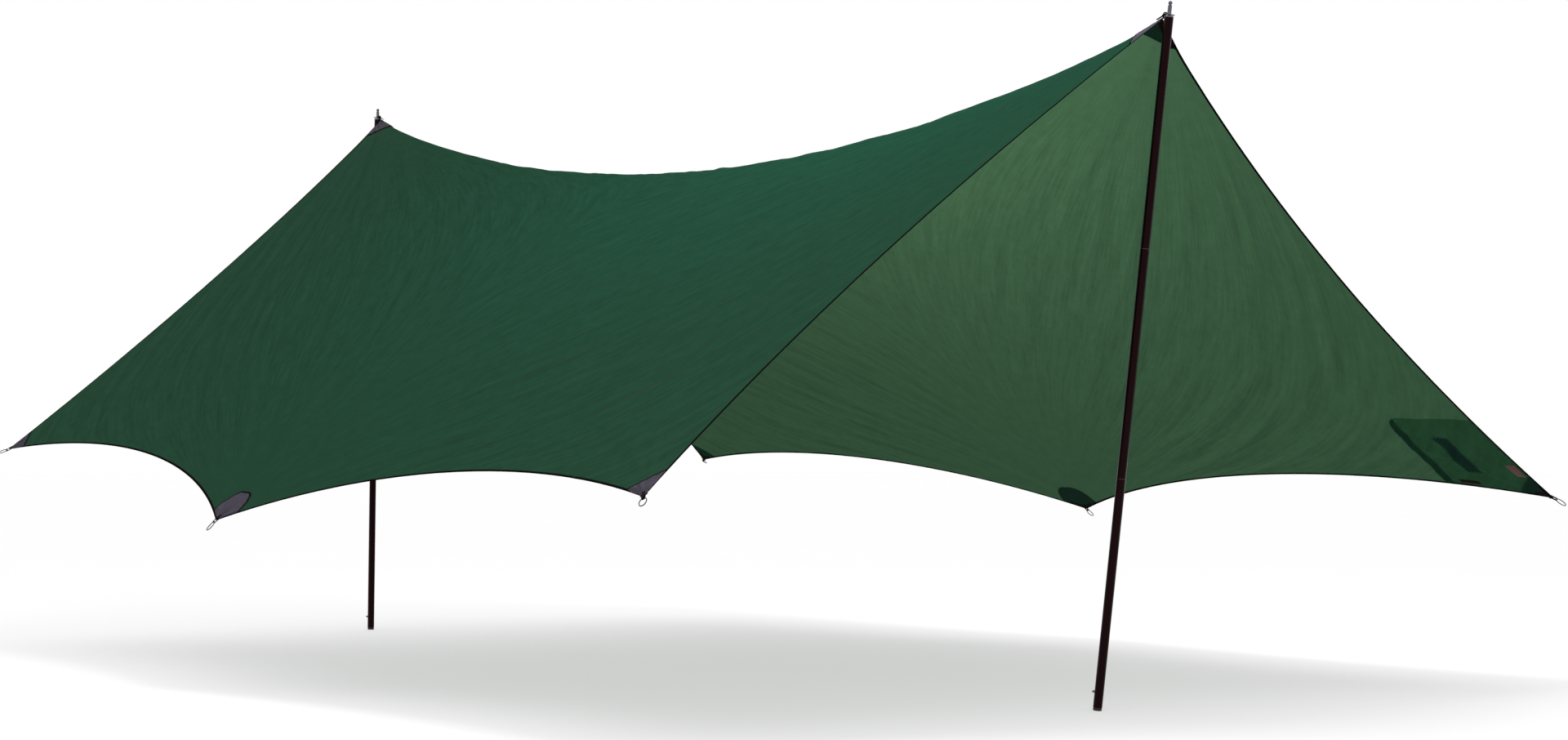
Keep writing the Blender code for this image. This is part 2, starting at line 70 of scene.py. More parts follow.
# ------------------------------------------------------------------ the cut cloth
# Tie-outs: (along, across) on the cut cloth, from -1 to 1, and the place in metres.
TIE_OUTS = {
    "rear_peak": ((-1, 0), (-2.397, 0.002, 2.164)),
    "front_peak": ((1, 0), (2.390, 0.010, 2.034)),
    "rear_right": ((-1, -1), (-2.317, -1.658, 0.758)),
    "mid_right": ((0, -1), (-0.002, -1.867, 0.536)),
    "front_right": ((1, -1), (2.327, -1.766, 0.647)),
    "rear_left": ((-1, 1), (-2.348, 1.650, 0.715)),
    "mid_left": ((0, 1), (0.014, 1.861, 0.534)),
    "front_left": ((1, 1), (2.389, 1.767, 0.615)),
}
PEAKS = ("rear_peak", "front_peak")
HALF_LENGTH = 2.35
HALF_WIDTH = 2.22
PULL_ALONG = 3.2
PULL_ACROSS = 0.94
PULL_RIDGE = 17.0
RIDGE_BAND = 0.07
PULL_SIDE_HEM = 1.16
PULL_FRONT_HEM = 7.1
PULL_REAR_HEM = 8.7
NET_HALF = 16

# Wrinkles: heights, and the distance over which they grow from a tie-out.
LONG_FOLD = 3.6 * MM
FINE_FOLD = 2.2 * MM
FAN_FOLD = 6.5 * MM
FOLD_REACH = 0.9
FAN_START = 0.25
FAN_REACH = 0.45
SMOOTH_STEP = 0.004

# Patches, pocket and trims. Names in _U and _V are cloth coordinates; patch sizes are in
# metres, and CLOTH_GAP is the height of a layer above the cloth in millimetres.
HEMS = ("right_side", "left_side", "front_end", "rear_end")
HEM_START = 9 * MM
CLOTH_INSET = 1.5 * MM
PATCH_INSET = 2.0 * MM
PATCH_T = 0.5 * MM
BINDING_T = 0.35 * MM
CLOTH_GAP = 0.45
CORNER_PATCH = (0.118, 0.118)
PEAK_PATCH = (0.090, 0.125)
MID_PATCH = (0.092, 0.072)
POCKET_U = (0.835, 0.978)
POCKET_V = (0.82, 0.978)
BAND_U = 0.015
STRIP_U = (0.893, 0.919)
STRIP_V = (0.868, 0.958)
LABEL_U = (0.9770, 0.9915)
LABEL_V = (0.925, 0.953)
TAG_U = (0.864, 0.896)
TAG_V = (0.982, 0.990)
POCKET_END = 0.9985
POCKET_T = 0.3 * MM
BAND_T = 0.6 * MM
STRIP_T = 0.9 * MM
STRIP_HEIGHT = 0.75 * MM
LABEL_T = 0.35 * MM
LABEL_UNDER = 0.8 * MM
TAG_UNDER = 1.0 * MM
BAND_CORNER = (0.032, 0.034)

LOOP_W = 8 * MM
LOOP_T = 1.0 * MM
LOOP_LEG = 26 * MM
LOOP_HALF_GAP = 2.8 * MM
LOOP_EYE = 6 * MM
LOOP_EYE_ROOM = 0.8 * MM
PEAK_LOOP_EYE = 14 * MM
PEAK_LOOP_LIFT = 5.8 * MM
PEAK_LOOP_RISE = math.radians(25)
# Webbing under each tip: (length, width), how far in from the hem and under the cloth.
TIP_BAND = (0.060, 9 * MM)
PEAK_BAND = (0.112, 15 * MM)
BAND_THICK = 1.0 * MM
BAND_IN = 8.3 * MM
BAND_UNDER = 1.1 * MM
RING_L = 39 * MM
RING_W = 26 * MM
RING_WIRE = 3 * MM
RING_DROOP = {
    "rear_right": -12, "mid_right": 8, "front_right": 6, "rear_left": -12,
    "mid_left": 2, "front_left": 8, "rear_peak": 52, "front_peak": 57,
}

# ------------------------------------------------------------------ poles
TUBE_R = 13.75 * MM
TUBE_WALL = 1.1 * MM
TUBE_BEVEL = 0.12 * MM
SECTIONS = ("upper", "middle", "lower")
LEG_R = 12.3 * MM
LEG_WALL = 1.2 * MM
LEG_LENGTH = 0.55
COUPLER_LENGTH = 0.16
JOINT_GAP = 0.4 * MM
FOOT_STICKS_OUT = 9 * MM
FOOT_STEM = 25 * MM
FOOT_R = 13.2 * MM
CAP_RISE = 5 * MM
CAP_EDGE = 2 * MM
CAP_PLUG = 22 * MM
DOME_R = 8 * MM
SPIKE_R = 6 * MM
SPIKE_SHANK_R = 4 * MM
SPIKE_NECK_R = 4.4 * MM
SPIKE_HEAD = 9 * MM
SPIKE_L = 43 * MM
BUTTON_HEIGHT = 55 * MM
BUTTON_R = 3.5 * MM
BUTTON_PROUD = 7 * MM
BUTTON_BACK = 8.6 * MM

# ------------------------------------------------------------------ where pieces stand
POLE_FEET = {"rear": (-2.342, -0.057, 0.0), "front": (2.190, -0.068, 0.0)}
HEAD_OUT = 15 * MM
HEAD_DROP = 13 * MM
BUTTON_SIDE = Vector((-0.59, -0.807, 0))
TIE_STEP = 0.055 / 3

# ------------------------------------------------------------------ how finely pieces are made
CANOPY_LINES_ALONG = 312
CANOPY_LINES_ACROSS = 304
HEM_LINES = 420
WEB_RIB = 1.2 * MM
STITCH_PITCH = 4.0 * MM
LOOP_STITCH_PITCH = 1.6 * MM
THREAD_W = 0.5 * MM
STITCH_SHARE = 0.78
RING_STEPS = 64
WIRE_STEPS = 16
MERGE = 0.01 * MM
CREASE_ANGLE = math.radians(35)

# ------------------------------------------------------------------ light
WORLD_LIGHT = 1.0
OVERHEAD_LIGHT = 1.7
OVERHEAD_FROM = (-0.22, -0.12, 0.97)
OVERHEAD_ANGLE = math.radians(70)
SOFTBOX_POWER = 190.0
SOFTBOX_PLACE = (1.1, -0.35, 4.1)
SOFTBOX_SIZE = 1.6
FLOOR_GLOW = 0.54
FLOOR_HALF = 60.0

# ------------------------------------------------------------------ camera
CAMERA_PLACE = Vector((8.56, -5.88, 0.78))
CAMERA_AZIMUTH = math.radians(53.8)
CAMERA_ELEVATION = math.radians(-1.5)
CAMERA_ROLL = math.radians(0.16)
CAMERA_LENS = 66.47


def make_camera():
    """Low, to the right of the front end, looking across the shelter."""
    data = bpy.data.cameras.new("camera")
    data.lens = CAMERA_LENS
    data.sensor_width = 36
    data.clip_end = 200
    camera = bpy.data.objects.new("camera", data)
    bpy.context.scene.collection.objects.link(camera)
    a, e = CAMERA_AZIMUTH, CAMERA_ELEVATION
    back = Vector((math.sin(a) * math.cos(e), -math.cos(a) * math.cos(e), math.sin(e)))
    right = Vector((math.cos(a), math.sin(a), 0))
    up = back.cross(right)
    turn = Matrix((right, up, back)).transposed().to_4x4()
    roll = Matrix.Rotation(CAMERA_ROLL, 4, "Z")
    camera.matrix_world = Matrix.Translation(CAMERA_PLACE) @ turn @ roll
    bpy.context.scene.camera = camera


# ------------------------------------------------------------------ small helpers

def linear(text):
    """An sRGB hex value as a linear colour."""
    parts = [int(text[k:k + 2], 16) / 255 for k in (1, 3, 5)]
    return [c / 12.92 if c <= 0.04045 else ((c + 0.055) / 1.055) ** 2.4 for c in parts] + [1]


def add(tree, kind, inputs=None, **settings):
    """A node with its settings; an input is a value, or a socket to link from."""
    made = tree.nodes.new(kind)
    for key, value in settings.items():
        setattr(made, key, value)
    for key, value in (inputs or {}).items():
        if isinstance(value, bpy.types.NodeSocket):
            tree.links.new(value, made.inputs[key])
        else:
            made.inputs[key].default_value = value
    return made


def mesh_object(name, places, faces, finish, smooth=True, uv=None):
    """A piece at the origin, with its place in its mesh."""
    mesh = bpy.data.meshes.new(name)
    mesh.from_pydata([tuple(p) for p in places], [], faces)
    mesh.update()
    obj = bpy.data.objects.new(name, mesh)
    bpy.context.scene.collection.objects.link(obj)
    mesh.materials.append(finish)
    if smooth:
        mesh.shade_smooth()
    if uv is not None:
        layer = mesh.uv_layers.new(name="cloth")
        corner = np.zeros(len(mesh.loops), dtype=np.int32)
        mesh.loops.foreach_get("vertex_index", corner)
        layer.data.foreach_set("uv", np.asarray(uv, dtype=np.float32)[corner].ravel())
    return obj


def grid_faces(rows, cols, wrap=False):
    """Four-sided faces between the points of a grid."""
    faces = []
    for i in range(rows - 1):
        for j in range(cols if wrap else cols - 1):
            k = (j + 1) % cols
            faces.append((i * cols + j, i * cols + k, (i + 1) * cols + k, (i + 1) * cols + j))
    return faces


def rise(low, high, value):
    """0 below low, 1 above high, and smooth between."""
    t = np.clip((value - low) / (high - low), 0, 1)
    return t * t * (3 - 2 * t)


def unit(vectors):
    return vectors / np.linalg.norm(vectors, axis=-1, keepdims=True)


def ripple(x, y, seed):
    """Smooth random height from -1 to 1, with one knot per unit of x and of y."""
    heights = np.random.default_rng(seed).uniform(-1, 1, (128, 128))
    i, j = np.floor(x).astype(int), np.floor(y).astype(int)
    a, b = rise(0, 1, x - i), rise(0, 1, y - j)
    i, j, k, m = i % 128, j % 128, (i + 1) % 128, (j + 1) % 128
    near = heights[i, j] * (1 - a) + heights[k, j] * a
    far = heights[i, m] * (1 - a) + heights[k, m] * a
    return near * (1 - b) + far * b


# ------------------------------------------------------------------ canopy shape

def relaxed_net():
    """Places of the net's knots, as an array (along, across, xyz)."""
    half = NET_HALF
    count = 2 * half + 1
    fixed = {}
    for (along, across), place in TIE_OUTS.values():
        fixed[(along + 1) * half * count + (across + 1) * half] = place
    stiffness = np.zeros((count * count, count * count))

    def tie(a, b, pull):
        stiffness[a, a] += pull
        stiffness[b, b] += pull
        stiffness[a, b] -= pull
        stiffness[b, a] -= pull

    for row in range(count):
        across = (row - half) / half
        pull = PULL_ALONG + PULL_RIDGE * math.exp(-(across / RIDGE_BAND) ** 2)
        if row in (0, 2 * half):
            pull = 0.5 * PULL_ALONG + PULL_SIDE_HEM * half
        for col in range(count - 1):
            tie(col * count + row, (col + 1) * count + row, pull)
    hem_pull = {0: PULL_REAR_HEM, 2 * half: PULL_FRONT_HEM}
    for col in range(count):
        pull = PULL_ACROSS
        if col in hem_pull:
            pull = 0.5 * PULL_ACROSS + hem_pull[col] * half
        for row in range(count - 1):
            tie(col * count + row, col * count + row + 1, pull)

    held = np.array(sorted(fixed))
    free = np.setdiff1d(np.arange(count * count), held)
    places = np.zeros((count * count, 3))
    places[held] = [fixed[k] for k in held]
    load = -stiffness[np.ix_(free, held)] @ places[held]
    places[free] = np.linalg.solve(stiffness[np.ix_(free, free)], load)
    return places.reshape(count, count, 3)


def with_margin(knots):
    """One more knot beyond each side, continuing the last step."""
    low = 3 * knots[:1] - 3 * knots[1:2] + knots[2:3]
    high = 3 * knots[-1:] - 3 * knots[-2:-1] + knots[-3:-2]
    knots = np.concatenate([low, knots, high], axis=0)
    low = 3 * knots[:, :1] - 3 * knots[:, 1:2] + knots[:, 2:3]
    high = 3 * knots[:, -1:] - 3 * knots[:, -2:-1] + knots[:, -3:-2]
    return np.concatenate([low, knots, high], axis=1)


def knot_weights(t):
    """Catmull-Rom weights of the four knots round a place."""
    return (-0.5 * t + t ** 2 - 0.5 * t ** 3, 1 - 2.5 * t ** 2 + 1.5 * t ** 3,
            0.5 * t + 2 * t ** 2 - 1.5 * t ** 3, -0.5 * t ** 2 + 0.5 * t ** 3)


def through_knots(knots, x, y):
    """Places between the knots of a net, on a smooth surface through all of them."""
    cells = knots.shape[0] - 3
    i = np.clip(np.floor(x).astype(int), 0, cells - 1)
    j = np.clip(np.floor(y).astype(int), 0, cells - 1)
    total = 0
    for a, weight_x in enumerate(knot_weights(x - i)):
        for b, weight_y in enumerate(knot_weights(y - j)):
            total = total + knots[i + a, j + b] * (weight_x * weight_y)[..., None]
    return total


def pull_lines(u, v):
    """Bowed lines of pull between each peak and mid-side ring.

    Gives which line a place is on, as an angle from 0 at the centre to pi at the
    corner, how far along it in metres, and its distance from the nearer end.
    """
    x, y = HALF_LENGTH * np.abs(u), HALF_WIDTH * np.abs(v)
    line = np.arctan2(y, HALF_LENGTH - x + 1e-9) + np.arctan2(x, HALF_WIDTH - y + 1e-9)
    from_peak = np.hypot(HALF_LENGTH - x, y)
    from_ring = np.hypot(x, HALF_WIDTH - y)
    return line, from_peak - from_ring, np.minimum(from_peak, from_ring)


def quarter_of(u, v):
    """A number for each quarter of the canopy, so that no two have the same wrinkles."""
    return 3.0 * np.tanh(9 * u) + 7.0 * np.tanh(9 * v)


class Cloth:
    """The pulled-out canopy: places and outward normals over cloth coordinates."""

    def __init__(self):
        net = relaxed_net()
        self.whole = with_margin(net)
        self.quarters = {}
        for side_u in (-1, 1):
            for side_v in (-1, 1):
                part = net[::side_u][NET_HALF:][:, ::side_v][:, NET_HALF:]
                self.quarters[side_u, side_v] = with_margin(part)

    def smooth(self, u, v):
        """The cloth without its wrinkles: sharp at the tie-outs, smooth further in."""
        u, v = np.broadcast_arrays(np.asarray(u, float), np.asarray(v, float))
        u, v = np.clip(u, -1, 1), np.clip(v, -1, 1)
        places = through_knots(self.whole, (u + 1) * NET_HALF, (v + 1) * NET_HALF)
        share = rise(0.7, 0.95, np.maximum(np.abs(u), np.abs(v)))[..., None]
        for (side_u, side_v), knots in self.quarters.items():
            here = ((u >= 0) == (side_u > 0)) & ((v >= 0) == (side_v > 0))
            sharp = through_knots(knots, np.abs(u[here]) * NET_HALF, np.abs(v[here]) * NET_HALF)
            places[here] = places[here] * (1 - share[here]) + sharp * share[here]
        return places

    def normal(self, u, v):
        step = SMOOTH_STEP
        along = self.smooth(u + step, v) - self.smooth(u - step, v)
        across = self.smooth(u, v + step) - self.smooth(u, v - step)
        return unit(np.cross(along, across))

    def folds(self, u, v):
        """Height of the wrinkles, in metres: long ones between peaks and mid-side
        rings, and short ones that fan out of every tie-out."""
        line, along, from_end = pull_lines(u, v)
        quarter = quarter_of(u, v)
        reach = np.clip(from_end / FOLD_REACH, 0, 1)
        height = LONG_FOLD * reach * ripple(line * 21 + quarter, along * 1.3, 11)
        height = height + FINE_FOLD * reach * ripple(line * 43 - quarter, along * 2.6, 12)
        x, y = HALF_LENGTH * u, HALF_WIDTH * v
        for k, ((along_tip, across_tip), _) in enumerate(TIE_OUTS.values()):
            dx = HALF_LENGTH * along_tip - x
            dy = HALF_WIDTH * across_tip - y
            far = np.hypot(dx, dy)
            fan = ripple(np.arctan2(dy, dx) * 7 + 40, far * 1.5, 30 + k)
            height = height + FAN_FOLD * fan * np.clip(far / FAN_START, 0, 1) * np.exp(-far / FAN_REACH)
        edge = np.minimum(HALF_LENGTH * (1 - np.abs(u)), HALF_WIDTH * (1 - np.abs(v)))
        return height * (0.15 + 0.85 * rise(0.0, 0.10, edge))

    def place(self, u, v, lift=0.0):
        u, v = np.broadcast_arrays(np.asarray(u, float), np.asarray(v, float))
        height = self.folds(u, v) + lift
        return self.smooth(u, v) + self.normal(u, v) * height[..., None]


def crowded(count):
    """Lines from -1 to 1, closer together towards the hems."""
    bend = 0.6 * math.pi / 2
    return np.sin(np.linspace(-bend, bend, count)) / math.sin(bend)


def mark_pull(obj, line, along, number, reach):
    """Stores which line of pull each point is on, and how far along it: the cloth's
    fine creases follow those lines. A sheet with two faces has the same on both."""
    layers = len(obj.data.vertices) // np.size(line)
    pull = np.stack(np.broadcast_arrays(line, along, number), -1).reshape(-1, 3)
    field = obj.data.attributes.new("pull", "FLOAT_VECTOR", "POINT")
    field.data.foreach_set("vector", np.tile(pull, (layers, 1)).astype(np.float32).ravel())
    depth = np.broadcast_to(reach, np.shape(line)).ravel()
    field = obj.data.attributes.new("reach", "FLOAT", "POINT")
    field.data.foreach_set("value", np.tile(depth, layers).astype(np.float32))
    return obj


def whole_canopy(cloth, finish):
    """One sheet of cloth from hem to hem. Its edge runs inside the folded tape."""
    u_lines = crowded(CANOPY_LINES_ALONG) * (1 - CLOTH_INSET / HALF_LENGTH)
    v_lines = crowded(CANOPY_LINES_ACROSS) * (1 - CLOTH_INSET / HALF_WIDTH)
    u, v = np.meshgrid(u_lines, v_lines, indexing="ij")
    places = cloth.place(u, v).reshape(-1, 3)
    faces = grid_faces(*u.shape)
    obj = mesh_object("canopy_cloth_sheet", places, faces, finish,
                      uv=np.stack([u * HALF_LENGTH, v * HALF_WIDTH], -1).reshape(-1, 2))
    line, along, from_end = pull_lines(u, v)
    return mark_pull(obj, line, along, quarter_of(u, v), np.clip(from_end / FOLD_REACH, 0, 1))


# ------------------------------------------------------------------ edges of the cloth

class Edge:
    """A run along the cloth's edge: places, and directions along, inward and out."""

    def __init__(self, cloth, u, v, inward):
        self.cloth = cloth
        self.u, self.v = np.broadcast_arrays(np.asarray(u, float), np.asarray(v, float))
        self.place = cloth.smooth(self.u, self.v)
        inner = cloth.smooth(self.u + inward[0] * SMOOTH_STEP, self.v + inward[1] * SMOOTH_STEP)
        self.along = unit(np.gradient(self.place, axis=0))
        step = inner - self.place
        step = step - self.along * (step * self.along).sum(-1, keepdims=True)
        self.inward = unit(step)
        self.out = np.cross(self.along, self.inward)
        self.out = self.out * np.sign(self.out[..., 2:3])

    def at(self, inward, out):
        """Places this far in from the edge and out of the cloth."""
        return self.place + self.inward * inward + self.out * out


def hem_edge(cloth, which, count):
    """The edge that one hem runs along."""
    if which in ("right_side", "left_side"):
        side = -1 if which == "right_side" else 1
        reach = 1 - HEM_START / HALF_LENGTH
        u = np.linspace(-reach, reach, count)
        return Edge(cloth, u, side + 0 * u, (0, -side))
    end = 1 if which == "front_end" else -1
    reach = 1 - HEM_START / HALF_WIDTH
    v = np.linspace(-reach, reach, count)
    return Edge(cloth, end + 0 * v, v, (-end, 0))


# Tape folded over the cloth's edge: (inward, out) round the section, in mm.
TAPE_SECTION = (
    (8.0, 0.55), (7.7, 0.82), (6.6, 0.74), (5.9, 0.66), (5.2, 0.80), (3.4, 0.90),
    (1.6, 0.88), (0.5, 0.66), (0.1, 0.30), (0.0, 0.0), (0.1, -0.30), (0.5, -0.66),
    (1.6, -0.88), (3.4, -0.90), (5.2, -0.80), (5.9, -0.66), (6.6, -0.74), (7.7, -0.82),
    (8.0, -0.55),
)
STITCH_IN = 5.9


def hem_tape(cloth, which, finish):
    """Folded tape along one hem, swaying a little as sewn tape does."""
    edge = hem_edge(cloth, which, HEM_LINES)
    sway = ripple(np.arange(HEM_LINES) * 0.9, np.zeros(HEM_LINES), 5)[:, None] * 0.18
    rings = [edge.at(inward * MM, (out + sway) * MM) for inward, out in TAPE_SECTION]
    places = np.stack(rings, axis=1)
    cols = len(TAPE_SECTION)
    faces = grid_faces(HEM_LINES, cols, wrap=True)
    faces.append(tuple(range(cols)))
    faces.append(tuple((HEM_LINES - 1) * cols + k for k in reversed(range(cols))))
    return closed(mesh_object(which + "_hem_tape", places.reshape(-1, 3), faces, finish))


def closed(obj, merge=None):
    """Turn every face of a closed piece outwards, after merging points that meet."""
    shape = bmesh.new()
    shape.from_mesh(obj.data)
    if merge:
        bmesh.ops.remove_doubles(shape, verts=shape.verts, dist=merge)
    bmesh.ops.recalc_face_normals(shape, faces=shape.faces)
    shape.to_mesh(obj.data)
    shape.free()
    return obj


def thick_sheet(name, places, normals, thickness, finish, pull=None):
    """A closed sheet from a grid of places, as thick as its cloth, with its rim closed."""
    rows, cols = places.shape[:2]
    half = normals * (thickness / 2)
    both = np.concatenate([(places + half).reshape(-1, 3), (places - half).reshape(-1, 3)])
    top = grid_faces(rows, cols)
    shift = rows * cols
    faces = top + [tuple(shift + k for k in reversed(face)) for face in top]
    rim = [(0, j) for j in range(cols)] + [(i, cols - 1) for i in range(1, rows)]
    rim += [(rows - 1, j) for j in range(cols - 2, -1, -1)]
    rim += [(i, 0) for i in range(rows - 2, 0, -1)]
    rim = [i * cols + j for i, j in rim]
    for a, b in zip(rim, rim[1:] + rim[:1]):
        faces.append((a, a + shift, b + shift, b))
    across, along = np.meshgrid(np.linspace(0, 1, cols), np.linspace(0, 1, rows))
    square = np.stack([along, across], -1).reshape(-1, 2)
    obj = mesh_object(name, both, faces, finish, uv=np.tile(square, (2, 1)))
    if pull:
        mark_pull(obj, *pull)
    return closed(obj, merge=MERGE)


# ------------------------------------------------------------------ patches

def patch_outline(tie, angle):
    """How far the patch reaches from its tip at an angle, as shares of its size."""
    if tie.kind == "mid":
        return 1.0 + 0 * angle
    return 1 / (np.abs(np.cos(angle)) + np.abs(np.sin(angle))) ** 0.86


def patch_coordinates(tie, angle, share):
    """Cloth coordinates at an angle round the tip and a share of the way to the inner edge."""
    reach = share * patch_outline(tie, angle)
    size_u, size_v = tie.patch_size
    if tie.kind == "peak":
        along, across = -tie.u * np.sin(angle), np.cos(angle)
    else:
        along, across = np.cos(angle), -tie.v * np.sin(angle)
    if tie.kind == "corner":
        along = -tie.u * along
    return (tie.u + size_u * reach * along / HALF_LENGTH,
            tie.v + size_v * reach * across / HALF_WIDTH)


def patch_lift(tie, u, v, angle, share):
    """The patch lies under the tape at the edge, and puckers where the ring pulls it."""
    edge = np.full(np.shape(u), 9.0)
    if tie.u:
        edge = np.minimum(edge, HALF_LENGTH * (1 - np.abs(u)))
    if tie.v:
        edge = np.minimum(edge, HALF_WIDTH * (1 - np.abs(v)))
    free = rise(4 * MM, 16 * MM, edge)
    folds = 0.5 + 0.5 * ripple(angle * 7 + 20, share * 1.2, 60 + tie.number)
    fine = 0.5 + 0.5 * ripple(angle * 17 + 50, share * 2.5, 80 + tie.number)
    puff = (2.4 * folds + 1.6 * fine) * np.sin(np.clip(share, 0, 1) * math.pi * 0.92) ** 0.7
    return (CLOTH_GAP + free * (tie.patch_lift + puff)) * MM


def patch(cloth, tie, finish):
    """Reinforcement cloth sewn over the tip, with creases that fan out of the ring."""
    angles = np.linspace(0, tie.sweep, 73)
    shares = np.linspace(0.04, 1, 34)
    angle, share = np.meshgrid(angles, shares, indexing="ij")
    u, v = patch_coordinates(tie, angle, share)
    if tie.u:
        u = tie.u * np.minimum(np.abs(u), 1 - PATCH_INSET / HALF_LENGTH)
    if tie.v:
        v = tie.v * np.minimum(np.abs(v), 1 - PATCH_INSET / HALF_WIDTH)
    places = cloth.place(u, v, patch_lift(tie, u, v, angle, share))
    return thick_sheet(tie.name + "_patch_cloth", places, cloth.normal(u, v), PATCH_T, finish,
                       pull=(angle * 0.24, share * 0.45, tie.number, 1.0))


# Tape on the patch's inner edge: (share of the way to that edge, height in mm).
BINDING_SECTION = ((0.948, 0.42), (0.965, 0.62), (0.985, 0.66), (1.004, 0.5), (1.012, -0.1))


def patch_binding(cloth, tie, finish):
    """Dark tape over the patch's inner edge."""
    angle = np.linspace(0.02, tie.sweep - 0.02, 121)
    rows = []
    for share, height in BINDING_SECTION:
        u, v = patch_coordinates(tie, angle, share + 0 * angle)
        lift = patch_lift(tie, u, v, angle, np.minimum(share + 0 * angle, 1.0)) + height * MM
        rows.append(cloth.place(u, v, lift))
    places = np.stack(rows, axis=1)
    u, v = patch_coordinates(tie, angle, 0.98 + 0 * angle)
    normals = np.repeat(cloth.normal(u, v)[:, None], len(rows), axis=1)
    return thick_sheet(tie.name + "_patch_binding", places, normals, BINDING_T, finish)


# ------------------------------------------------------------------ tie-outs

class TieOut:
    """Place and directions of one tie-out: pull, side and outward normal."""

    def __init__(self, name, cloth, number):
        self.name = name
        self.number = number
        (self.u, self.v), _ = TIE_OUTS[name]
        self.kind = name.split("_")[1] if name in PEAKS else name.split("_")[0]
        if self.kind in ("front", "rear"):
            self.kind = "corner"
        self.sweep = math.pi / 2 if self.kind == "corner" else math.pi
        self.patch_size = {"corner": CORNER_PATCH, "peak": PEAK_PATCH, "mid": MID_PATCH}[self.kind]
        self.patch_lift = 3.2 if name == "front_left" else 0.6
        self.tip = cloth.smooth(self.u, self.v)
        inner = cloth.smooth(self.u * (1 - TIE_STEP), self.v * (1 - TIE_STEP))
        ends = []
        for du, dv in ((-1, 0), (1, 0), (0, -1), (0, 1)):
            u, v = self.u + du * TIE_STEP, self.v + dv * TIE_STEP
            if max(abs(u), abs(v)) <= 1 and 1 in (abs(u), abs(v)):
                ends.append(unit(cloth.smooth(u, v) - self.tip))
        self.side = unit(ends[1] - ends[0])
        pull = self.tip - inner
        self.pull = unit(pull - self.side * pull.dot(self.side))
        self.normal = np.cross(self.pull, self.side)
        if self.normal[2] < 0:
            self.side, self.normal = -self.side, -self.normal
        peak = name in PEAKS
        self.reach = PEAK_LOOP_EYE if peak else LOOP_EYE
        turn = np.array(Matrix.Rotation(-PEAK_LOOP_RISE if peak else 0, 3, Vector(self.side)))
        self.loop_pull = turn @ self.pull
        self.loop_normal = turn @ self.normal
        self.root = self.tip + self.normal * (PEAK_LOOP_LIFT if peak else 0)
        self.eye = self.root + self.loop_pull * self.reach
        self.bend = PEAK_LOOP_RISE if peak else 0.0


def spaced(points, directions, step):
    """The same path with even steps."""
    points, directions = np.array(points), np.array(directions)
    gone = np.concatenate([[0], np.cumsum(np.linalg.norm(np.diff(points, axis=0), axis=1))])
    even = np.linspace(0, gone[-1], max(2, int(gone[-1] / step)))
    place = np.stack([np.interp(even, gone, points[:, k]) for k in range(3)], 1)
    turn = np.stack([np.interp(even, gone, directions[:, k]) for k in range(3)], 1)
    return place, unit(turn)


def woven(name, place, out, side, width, thickness, threads, finish):
    """Woven tape through evenly spaced places, with rounded edges and a rib for each
    cross thread."""
    across = np.linspace(-1, 1, threads)
    edge = 1 - 0.35 * np.abs(across) ** 6
    row = np.arange(len(place))[:, None]
    col = np.arange(threads)[None, :]
    rib = 0.06 * MM * np.where((row + col) % 2 == 0, 1, -1)
    middle = place[:, None] + side[:, None] * (across * width / 2)[None, :, None]
    thick = thickness * edge[None, :] + 2 * rib
    return thick_sheet(name, middle, out[:, None] * thick[..., None] / thickness, thickness, finish)


def ring_loop(tie, finish):
    """Webbing sewn over the tip, folded round the ring's wire."""
    middle = LOOP_HALF_GAP + LOOP_T / 2
    joint = unit(tie.normal + tie.loop_normal) / math.cos(tie.bend / 2)
    stations = [(tie.root - tie.pull * LOOP_LEG, tie.normal), (tie.root, joint)]
    path, out = [], []
    for place, direction in stations:
        path.append(place + direction * middle)
        out.append(direction)
    turn_place = tie.eye + tie.loop_pull * LOOP_EYE_ROOM
    for k in range(25):
        angle = math.pi / 2 - math.pi * k / 24
        direction = tie.loop_pull * math.cos(angle) + tie.loop_normal * math.sin(angle)
        path.append(turn_place + direction * middle)
        out.append(direction)
    for place, direction in reversed(stations):
        path.append(place - direction * middle)
        out.append(-direction)
    place, out = spaced(path, out, WEB_RIB / 2)
    side = np.broadcast_to(tie.side, place.shape)
    return woven(tie.name + "_ring_loop", place, out, side, LOOP_W, LOOP_T, 9, finish)


